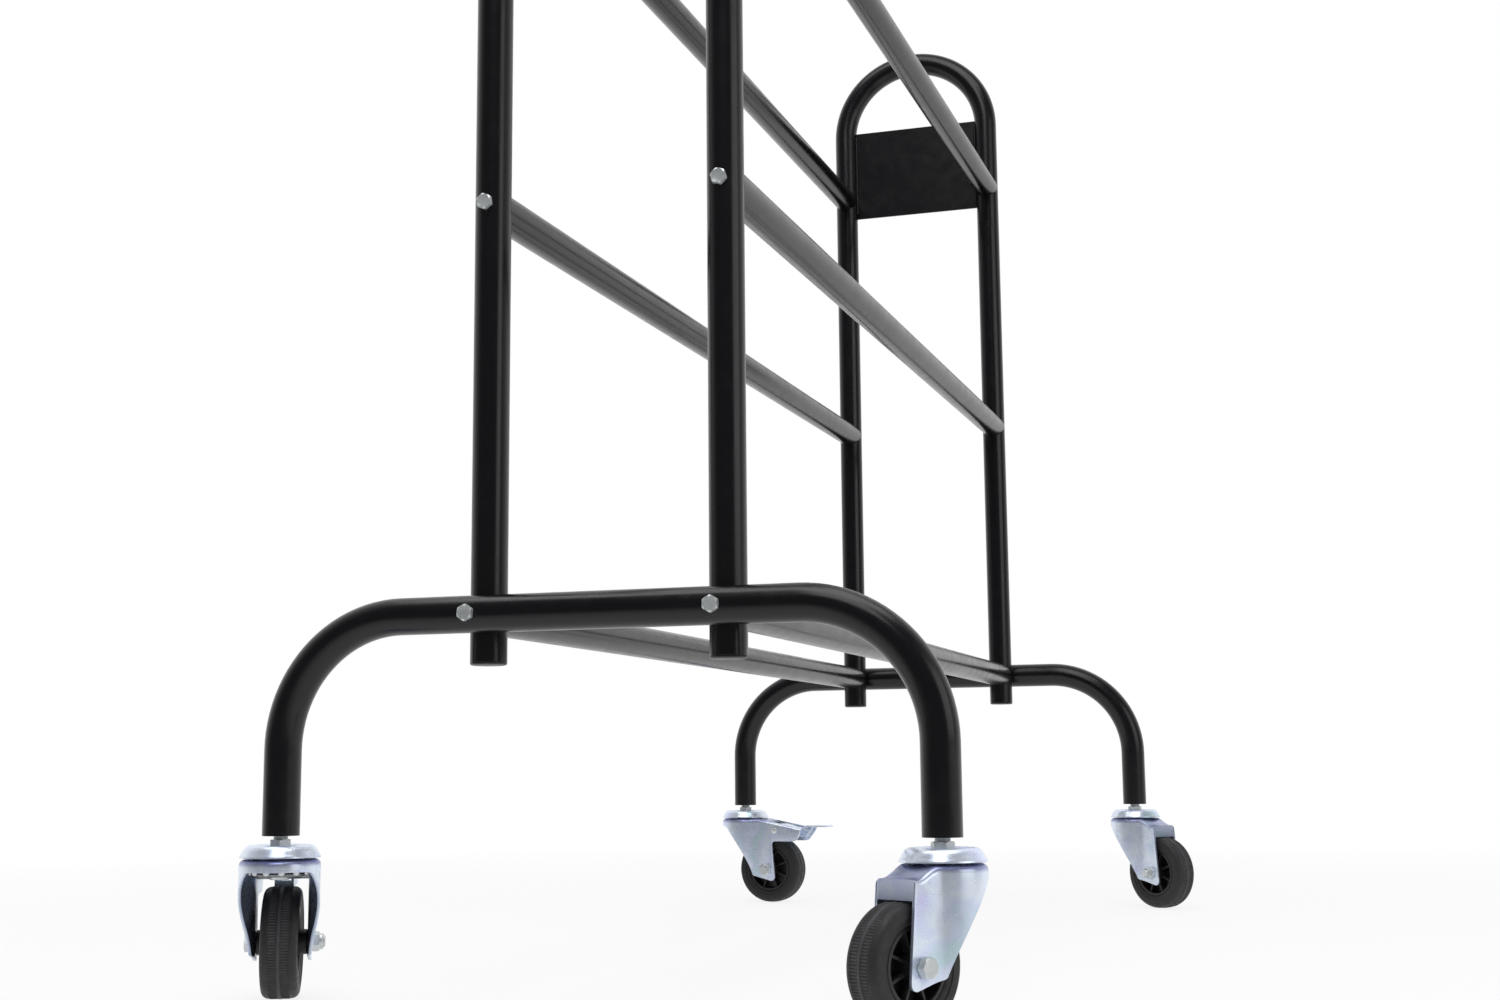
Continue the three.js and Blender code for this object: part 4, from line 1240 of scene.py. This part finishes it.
def plain_outline():
    """Side outline of a plain fork."""
    high = casters().crown_top + OVER
    return flank_front() + [(slant(high), high)]


def brake_outline():
    """Side outline of a brake fork, whose wings reach back past the flanks."""
    size, corner = casters(), 0.005
    wing_top = size.crown_top - size.wing_drop
    low, end = wing_top - size.wing_depth, size.wing - 0.006
    points = flank_front() + [(slant(low - corner), low - corner)]
    points += curve(points[-1], (slant(low), low), (slant(low) + corner, low), 6)
    points += [(end - corner, low)]
    points += curve(points[-1], (end, low), (end + 0.003, low + corner), 6)
    return points + [(size.wing, wing_top), (size.wing, size.crown_top + OVER)]


def hollow_shape(brake):
    """The room inside the pressing, a sheet short of the hood's rear wall or open behind."""
    size = casters()
    if brake:
        return fork_blank(size.sheet, True, size.wing + PAST)
    rear = size.hood - size.sheet
    shape = fork_blank(size.sheet, False, rear)
    for vert in shape.verts:
        if vert.co.x > rear - SAME:
            vert.co.x = slant(vert.co.z) - size.sheet
    return shape


def hood_seams():
    """The fine slots where the plain hood's rear wall is folded against the flanks."""
    size, inset, slit = casters(), 0.0012, 0.0002
    edge, across = size.crown_top - size.hood_drop, size.plain_half - inset
    low, high = edge - size.hood_height - 0.002, edge + 0.001
    seams = []
    for side in (1, -1):
        ends = sorted((side * (across - slit), side * (across + slit)))
        seams.append(block((size.hood - inset, ends[0], low), (size.hood + PAST, ends[1], high)))
    return seams


def fork_shape(brake):
    """A fork cut from one blank: side outline, hollow, rear opening, axle hole and stem hole."""
    size = casters()
    wheel, top, bottom = size.wheel / 2, size.crown_top, -0.006
    rear = max(size.wing if brake else size.hood, tip_reach()) + PAST
    if brake:
        slot = half_width(True) - size.shoulder
        opening = block((SLOT_START, -slot, bottom), (size.wing + 0.02, slot, top + OVER))
    else:
        room, sill = half_width(False) - size.sheet - FIT, top - size.hood_drop - size.hood_height
        opening = block((trail(), -room, bottom), (0.06, room, sill))
    outline = brake_outline() if brake else plain_outline()
    axle = bolts().axle_shank / 2 + size.sheet * 0.15
    steps = [
        ("INTERSECT", prism(outline, -ACROSS, ACROSS, "side")),
        ("DIFFERENCE", hollow_shape(brake)),
        ("DIFFERENCE", opening),
        ("DIFFERENCE", rod((trail(), -ACROSS, wheel), (trail(), ACROSS, wheel), axle, 32)),
        ("DIFFERENCE", rod((0, 0, top - OVER), (0, 0, top + OVER), STEM_HOLE, 32)),
    ]
    if not brake:
        steps += [("DIFFERENCE", seam) for seam in hood_seams()]
    return marked_walls(carved(fork_blank(0, brake, rear), *steps), brake)


def marked_walls(shape, brake):
    """Marks the walls that face the wheel or the swivel axis, and a plain roof where it falls."""
    turned_in, fall_start, fall_blend = -0.2, 0.002, 0.003
    shape.normal_update()
    # The inside mark carries painted shade on the walls that face the wheel or the swivel axis.
    inside = shape.verts.layers.float.new("inside")
    # The roof mark carries the violet tint with painted shade on the plain fork's falling roof.
    roof = shape.verts.layers.float.new("roof")
    for vert in shape.verts:
        outward = Vector((min(vert.co.x, 0), vert.co.y, 0)).normalized()
        open_wing = brake and vert.co.x > SLOT_START
        hidden = vert.normal.dot(outward) < turned_in and not open_wing
        vert[inside] = 1.0 if hidden else 0.0
        fall = (casters().crown_top - vert.co.z - fall_start) / fall_blend
        vert[roof] = 0.0 if brake else max(0.0, vert.normal.z) ** 2 * min(1.0, max(0.0, fall))
    return shape


def rivet_shape():
    """Pin across the slot with a domed head on each flank."""
    half, pin, dome, flatness, sunk = half_width(True), 0.002, 0.0035, 0.38, 0.0001
    x, z = pin_place()
    shapes = [rod((x, -half, z), (x, half, z), pin, 24)]
    for side in (1, -1):
        head = bmesh.new()
        bmesh.ops.create_uvsphere(head, u_segments=24, v_segments=12, radius=dome)
        bmesh.ops.scale(head, vec=(1, 1, flatness), verts=head.verts)
        lift = Matrix.Translation((x, side * (half - sunk), z))
        shapes.append(placed(head, lift @ Matrix.Rotation(-side * math.pi / 2, 4, "X")))
    return merged(*shapes)


class CART_OT_forks(bpy.types.Operator):
    """Makes the pressed caster forks and the brake rivets"""

    bl_idname = "cart.forks"
    bl_label = "Caster forks"

    def execute(self, context):
        for corner in CORNERS:
            place, brake = corner_place(corner), corner in BRAKED
            fork, body = placed(fork_shape(brake), place), f"swivel_{corner}"
            node = f"caster_fork_{corner}"
            add_piece(f"fork_{corner}", fork, "zinc", body, [node], crease=34, softened=0.00025)
            if brake:
                add_piece(f"brake_rivet_{corner}", placed(rivet_shape(), place), "bolt", body)
        return {"FINISHED"}


# Wheels


def tyre_shape():
    """A tyre on Z with a middle rib, two bands of fine grooves and round shoulders."""
    size = casters()
    radius, half, inner = size.wheel / 2, size.tyre_width / 2, size.hub_radius + 0.0003
    rib, band, groove, skin = 0.001, 0.0015, 0.001, 0.0003
    upper = [
        (radius, 0.0009),
        (radius - 0.0004, 0.0013),
        (radius - 0.0002, 0.0017),
        (radius - 0.0002, 0.0066),
        (radius - 0.0005, 0.0070),
        (radius - 0.0005, half - 0.0042),
        (radius - 0.0011, half - 0.0024),
        (radius - 0.0022, half - 0.0010),
        (radius - 0.0036, half - 0.0002),
        (radius - 0.0050, half),
        (radius - 0.0086, half),
        (radius - 0.0090, half - 0.0006),
        (radius - 0.0110, half - 0.0006),
        (inner + 0.0008, half - 0.0010),
        (inner, half - 0.0016),
    ]
    lower = [(r, -z) for r, z in reversed(upper)]
    shape = turned(upper + lower, 2 * size.grooves)
    # Marks the tread's ridges and the middle rib, which the rubber paints paler as a highlight.
    ridge = shape.verts.layers.float.new("ridge")
    for vert in shape.verts:
        reach = vert.co.xy.length
        turn = math.atan2(vert.co.y, vert.co.x) / TURN * 2 * size.grooves
        if reach > radius - skin and abs(vert.co.z) > band:
            if round(turn) % 2:
                vert.co.xy *= (radius - groove) / reach
            else:
                vert[ridge] = 1.0
        elif reach > radius - groove and abs(vert.co.z) < rib:
            vert[ridge] = 1.0
    return shape


def hub_shape(brake):
    """Rim, web, spokes and sleeve of a moulded hub, on Z."""
    size = casters()
    rim, half, web, round_sleeve = size.hub_radius, 0.011, 0.0015, 0.0085
    bore = bolts().axle_shank / 2 + 0.0003
    sleeve = half_width(brake) - size.sheet - bolts().seat
    outer = turned(
        [
            (rim - 0.0024, -half),
            (rim - 0.0003, -half),
            (rim, -half + 0.0004),
            (rim, half - 0.0004),
            (rim - 0.0003, half),
            (rim - 0.0024, half),
            (rim - 0.0030, half - 0.0008),
            (rim - 0.0036, web),
            (rim - 0.0036, -web),
            (rim - 0.0030, -half + 0.0008),
        ],
        96,
    )
    core = turned(
        [
            (bore, -sleeve),
            (0.0078, -sleeve),
            (round_sleeve, -sleeve + 0.0007),
            (round_sleeve, -0.0080),
            (0.0092, -web),
            (rim - 0.0030, -web),
            (rim - 0.0030, web),
            (0.0092, web),
            (round_sleeve, 0.0080),
            (round_sleeve, sleeve - 0.0007),
            (0.0078, sleeve),
            (bore, sleeve),
        ],
        64,
    )
    shapes, thin, deep = [outer, core], 0.001, 0.009
    for index in range(size.spokes):
        spoke = block((0.0080, -thin, -deep), (rim - 0.0028, thin, deep))
        lengthwise = [e for e in spoke.edges if abs(e.verts[0].co.x - e.verts[1].co.x) > SAME]
        round_edges(spoke, lengthwise, 0.0005, 2)
        shapes.append(placed(spoke, Matrix.Rotation(TURN * (index + 0.5) / size.spokes, 4, "Z")))
    return merged(*shapes)


class CART_OT_wheels(bpy.types.Operator):
    """Makes the tyres and hubs"""

    bl_idname = "cart.wheels"
    bl_label = "Wheels"

    def execute(self, context):
        for corner in CORNERS:
            axle, body = axle_place(corner), f"wheel_{corner}"
            tyre = placed(tyre_shape(), axle)
            add_piece(f"tread_{corner}", tyre, "rubber", body, [f"tyre_{corner}"], crease=40)
            hub = placed(hub_shape(corner in BRAKED), axle)
            add_piece(f"hub_{corner}", hub, "plastic", body, [f"wheel_hub_{corner}"])
        return {"FINISHED"}


# Brake pedals

PEDAL_TRAVEL = math.radians(10)  # turn at which the shoe meets the tyre
PEDAL_FRONT = 0.0065  # the channel's front end, before the pin
PEDAL_KNEE, PEDAL_HEEL, PEDAL_END = 0.034, 0.044, 0.063  # the toe's start, heel and end
PEDAL_LIFT = 0.006  # the toe's top, over the pin


def pedal_line(lowered):
    """Upper line of the pedal's channel in side view, from its front to the toe."""
    x, z = pin_place()
    z -= lowered
    start, crest = (x - PEDAL_FRONT, z + 0.0073), (x + 0.007, z + 0.008)
    waist, knee = (x + 0.022, z + 0.0035), (x + PEDAL_KNEE, z + 0.0035)
    slope = ((crest[0] + waist[0]) / 2, (crest[1] + waist[1]) / 2)
    sag = ((waist[0] + knee[0]) / 2, knee[1] - 0.0004)
    points = [start, (crest[0] - 0.005, crest[1] - 0.0002)]
    points += curve(points[-1], crest, slope, 5)
    points += curve(slope, (waist[0] - 0.001, waist[1]), sag, 6)
    return points + curve(sag, (knee[0] + 0.003, knee[1]), (x + PEDAL_HEEL, z + PEDAL_LIFT), 6)


def toe_shape(sheet, half):
    """The flat plate that is stepped on, from inside the channel to its round corners."""
    x, z = pin_place()
    end, level, wide, corner = x + PEDAL_END, z + PEDAL_LIFT, 0.011, 0.005
    outline = [(x + PEDAL_KNEE + sheet, -half), (x + PEDAL_HEEL, -wide), (end - corner, -wide)]
    outline += curve(outline[-1], (end, -wide), (end, corner - wide), 6)
    outline += [(along, -side) for along, side in reversed(outline)]
    return prism(outline, level - sheet, level, "plan")


def pedal_shape():
    """A channel on the brake pin, a flat toe, and a shoe that meets the tyre when pressed."""
    sheet, half, across = 0.0017, 0.0065, 0.03
    x, z = pin_place()
    heel, skirt = x + PEDAL_HEEL, z - 0.007
    sole = [(heel, z + PEDAL_LIFT - sheet)]
    sole += curve(sole[0], (x + 0.039, skirt + 0.001), (x + 0.035, skirt), 4)
    sole += [(x, skirt), (x - 0.005, skirt + 0.0004), (x - PEDAL_FRONT, skirt + 0.0017)]
    channel = prism(pedal_line(0) + sole, -half, half, "side")
    ridge = [e for e in channel.edges if e.is_manifold and is_ridge(e, z)]
    round_edges(channel, ridge, 0.0014, 3)
    under, front, below = pedal_line(sheet), x - 0.02, skirt - 0.01
    hollow = [(front, under[0][1])] + under + [(heel, below), (front, below)]
    turn = Matrix.Rotation(-PEDAL_TRAVEL, 4, "Y")
    pin = Matrix.Translation((x, 0, z))
    centre = pin @ turn @ pin.inverted() @ Vector((trail(), 0, casters().wheel / 2))
    tyre = casters().wheel / 2 + 0.0003
    side = half - sheet / 2
    pedal = carved(
        channel,
        ("DIFFERENCE", prism(hollow, sheet - half, half - sheet, "side")),
        ("UNION", toe_shape(sheet, half)),
        ("UNION", block((x + 0.007, -side, z - 0.018), (x + 0.016, side, z - 0.0035))),
        ("DIFFERENCE", rod((centre.x, -across, centre.z), (centre.x, across, centre.z), tyre, 96)),
        ("DIFFERENCE", rod((x, -across, z), (x, across, z), 0.0023, 24)),
    )
    # Painted shade: the channel's front end, inside the fork, is marked to be darkened.
    inside = pedal.verts.layers.float.new("inside")
    for vert in pedal.verts:
        vert[inside] = 1.0 if vert.co.x < x - 0.005 else 0.0
    return pedal


def is_ridge(edge, height):
    """True for the channel's two long upper edges."""
    first, second = edge.verts
    along = abs(first.co.x - second.co.x) > 1e-4 and abs(first.co.y - second.co.y) < SAME
    return along and min(first.co.z, second.co.z) > height + 0.001


class CART_OT_pedals(bpy.types.Operator):
    """Makes the brake pedals"""

    bl_idname = "cart.pedals"
    bl_label = "Brake pedals"

    def execute(self, context):
        for corner in BRAKED:
            shape = placed(pedal_shape(), corner_place(corner))
            name, node = f"pedal_{corner}", f"brake_pedal_{corner}"
            add_piece(name, shape, "zinc", name, [node], crease=34, softened=0.0002)
        return {"FINISHED"}


# Stage

LAMPS = [  # name, place, target, size and power
    ("overhead", (-0.5, 0, 2.4), (-0.5, 0.001, 0), (1.2, 2.4), 22),
    ("front", (-1.6, -0.2, 2.2), (-0.4, 0, 0.2), (1.2, 1.4), 14),
    ("right", (-0.9, -2.6, 1.1), (0, 0, 0.4), (1.8, 1.6), 13),
]
SENSOR = 36  # width of the camera's picture in millimetres
SHIFT = (0.0022, -0.0043)  # how far the picture's middle lies off the lens's axis


def joined(tree, operation, first, second):
    """One sum of two values, where a value is a socket or a plain number."""
    node = tree.nodes.new("ShaderNodeMath")
    node.operation = operation
    for slot, value in zip(node.inputs, (first, second)):
        if isinstance(value, float):
            slot.default_value = value
        else:
            tree.links.new(value, slot)
    return node.outputs["Value"]


def seen_rays(tree):
    """One where the camera, a mirror or glass looks, and nothing where light is gathered."""
    path = tree.nodes.new("ShaderNodeLightPath").outputs
    glossy = joined(tree, "MAXIMUM", path["Is Camera Ray"], path["Is Glossy Ray"])
    return joined(tree, "MAXIMUM", glossy, path["Is Transmission Ray"])


def floor_material(stage):
    """Pale floor that keeps soft shadows and fades into the backdrop's white further off."""
    material, tree, shader = new_material("floor")
    shader.inputs["Base Color"].default_value = (*stage.floor, 1)
    shader.inputs["Roughness"].default_value = 0.9
    shader.inputs["Specular IOR Level"].default_value = 0.1
    glow = tree.nodes.new("ShaderNodeEmission")
    glow.inputs["Color"].default_value = (*stage.backdrop, 1)
    place = tree.nodes.new("ShaderNodeTexCoord").outputs["Object"]
    far = tree.nodes.new("ShaderNodeVectorMath")
    far.operation = "LENGTH"
    tree.links.new(place, far.inputs[0])
    fade = spread(tree, far.outputs["Value"], 0.84, 1.0, start=0.7, end=2.2)
    split = tree.nodes.new("ShaderNodeSeparateXYZ")
    tree.links.new(place, split.inputs["Vector"])
    level = spread(tree, split.outputs["X"], stage.behind, 1.0, start=-1.5, end=-0.65)
    camera = tree.nodes.new("ShaderNodeLightPath").outputs["Is Camera Ray"]
    tree.links.new(joined(tree, "MAXIMUM", level, camera), glow.inputs["Strength"])
    mix = tree.nodes.new("ShaderNodeMixShader")
    tree.links.new(joined(tree, "MULTIPLY", fade, seen_rays(tree)), mix.inputs["Fac"])
    tree.links.new(shader.outputs["BSDF"], mix.inputs[1])
    tree.links.new(glow.outputs["Emission"], mix.inputs[2])
    tree.links.new(mix.outputs["Shader"], tree.nodes["Material Output"].inputs["Surface"])
    return material


def light_world(stage):
    """The white backdrop ahead of the camera, and a dimmer studio behind it."""
    world = bpy.data.worlds.new("studio")
    bpy.context.scene.world = world
    world.use_nodes = True
    tree = world.node_tree
    fill = tree.nodes["Background"]
    fill.inputs["Color"].default_value = (*stage.backdrop, 1)
    ahead = tree.nodes.new("ShaderNodeVectorMath")
    ahead.operation = "DOT_PRODUCT"
    ahead.inputs[1].default_value = (math.cos(stage.heading), math.sin(stage.heading), 0)
    tree.links.new(tree.nodes.new("ShaderNodeTexCoord").outputs["Generated"], ahead.inputs[0])
    level = spread(tree, ahead.outputs["Value"], stage.behind, 1.0, start=-0.35, end=0.55)
    camera = tree.nodes.new("ShaderNodeLightPath").outputs["Is Camera Ray"]
    tree.links.new(joined(tree, "MAXIMUM", level, camera), fill.inputs["Strength"])


def soft_lamp(name, place, target, size, power):
    """An area lamp that shines on a target."""
    lamp = bpy.data.lights.new(name, "AREA")
    lamp.shape = "RECTANGLE"
    lamp.size, lamp.size_y = size
    lamp.energy = power
    thing = bpy.data.objects.new(name, lamp)
    bpy.context.scene.collection.objects.link(thing)
    thing.location = place
    thing.rotation_euler = (Vector(target) - Vector(place)).to_track_quat("-Z", "Y").to_euler()


def aim_camera(stage):
    """Makes the camera and looks through it."""
    lens = bpy.data.cameras.new("camera")
    lens.lens = stage.lens
    lens.sensor_width = SENSOR
    lens.shift_x, lens.shift_y = SHIFT
    lens.clip_end = 100
    camera = bpy.data.objects.new("camera", lens)
    bpy.context.scene.collection.objects.link(camera)
    look = Euler((math.pi / 2 + stage.pitch, 0, stage.heading - math.pi / 2)).to_matrix()
    look = look @ Matrix.Rotation(stage.roll, 3, "Z")
    place = Matrix.Translation(cart_middle() + Vector(stage.camera))
    camera.matrix_world = place @ look.to_4x4()
    bpy.context.scene.camera = camera


class CART_OT_stage(bpy.types.Operator):
    """Makes the floor, the soft light and the camera"""

    bl_idname = "cart.stage"
    bl_label = "Stage"

    def execute(self, context):
        stage = context.scene.cart_stage
        shape = bmesh.new()
        bmesh.ops.create_grid(shape, x_segments=1, y_segments=1, size=30)
        floor = loose(placed(shape, Matrix.Translation(cart_middle())), "floor")
        floor.data.materials.append(floor_material(stage))
        light_world(stage)
        for lamp in LAMPS:
            soft_lamp(*lamp)
        aim_camera(stage)
        context.scene.view_settings.view_transform = "Standard"
        return {"FINISHED"}


class CART_PT_cart(bpy.types.Panel):
    """Buttons and settings in the sidebar"""

    bl_label = "Ball cart"
    bl_idname = "CART_PT_cart"
    bl_space_type = "VIEW_3D"
    bl_region_type = "UI"
    bl_category = "Ball cart"

    def draw(self, context):
        for operator in OPERATORS:
            self.layout.operator(operator.bl_idname)
        for group in GROUPS:
            settings = getattr(context.scene, group)
            box = self.layout.box()
            for name in settings.bl_rna.properties.keys():
                if name not in {"rna_type", "name"}:
                    box.prop(settings, name)


OPERATORS = [
    CART_OT_stage,
    CART_OT_end_hoops,
    CART_OT_foot_tubes,
    CART_OT_rails,
    CART_OT_end_plugs,
    CART_OT_frame_bolts,
    CART_OT_swivel_heads,
    CART_OT_forks,
    CART_OT_axles,
    CART_OT_wheels,
    CART_OT_pedals,
]
GROUPS = {
    "cart_tubes": CartTubes,
    "cart_bolts": CartBolts,
    "cart_casters": CartCasters,
    "cart_stage": CartStage,
}


def register():
    """Adds the settings, the operators and the panel."""
    for settings in GROUPS.values():
        bpy.utils.register_class(settings)
    for name, settings in GROUPS.items():
        setattr(bpy.types.Scene, name, PointerProperty(type=settings))
    for operator in OPERATORS:
        bpy.utils.register_class(operator)
    bpy.utils.register_class(CART_PT_cart)


def unregister():
    """Takes them away again."""
    bpy.utils.unregister_class(CART_PT_cart)
    for operator in reversed(OPERATORS):
        bpy.utils.unregister_class(operator)
    for name, settings in GROUPS.items():
        delattr(bpy.types.Scene, name)
        bpy.utils.unregister_class(settings)


def main():
    """Adds the add-on and makes every piece."""
    register()
    for operator in OPERATORS:
        family, call = operator.bl_idname.split(".")
        getattr(getattr(bpy.ops, family), call)()
    bpy.context.view_layer.update()


if __name__ == "__main__":
    main()
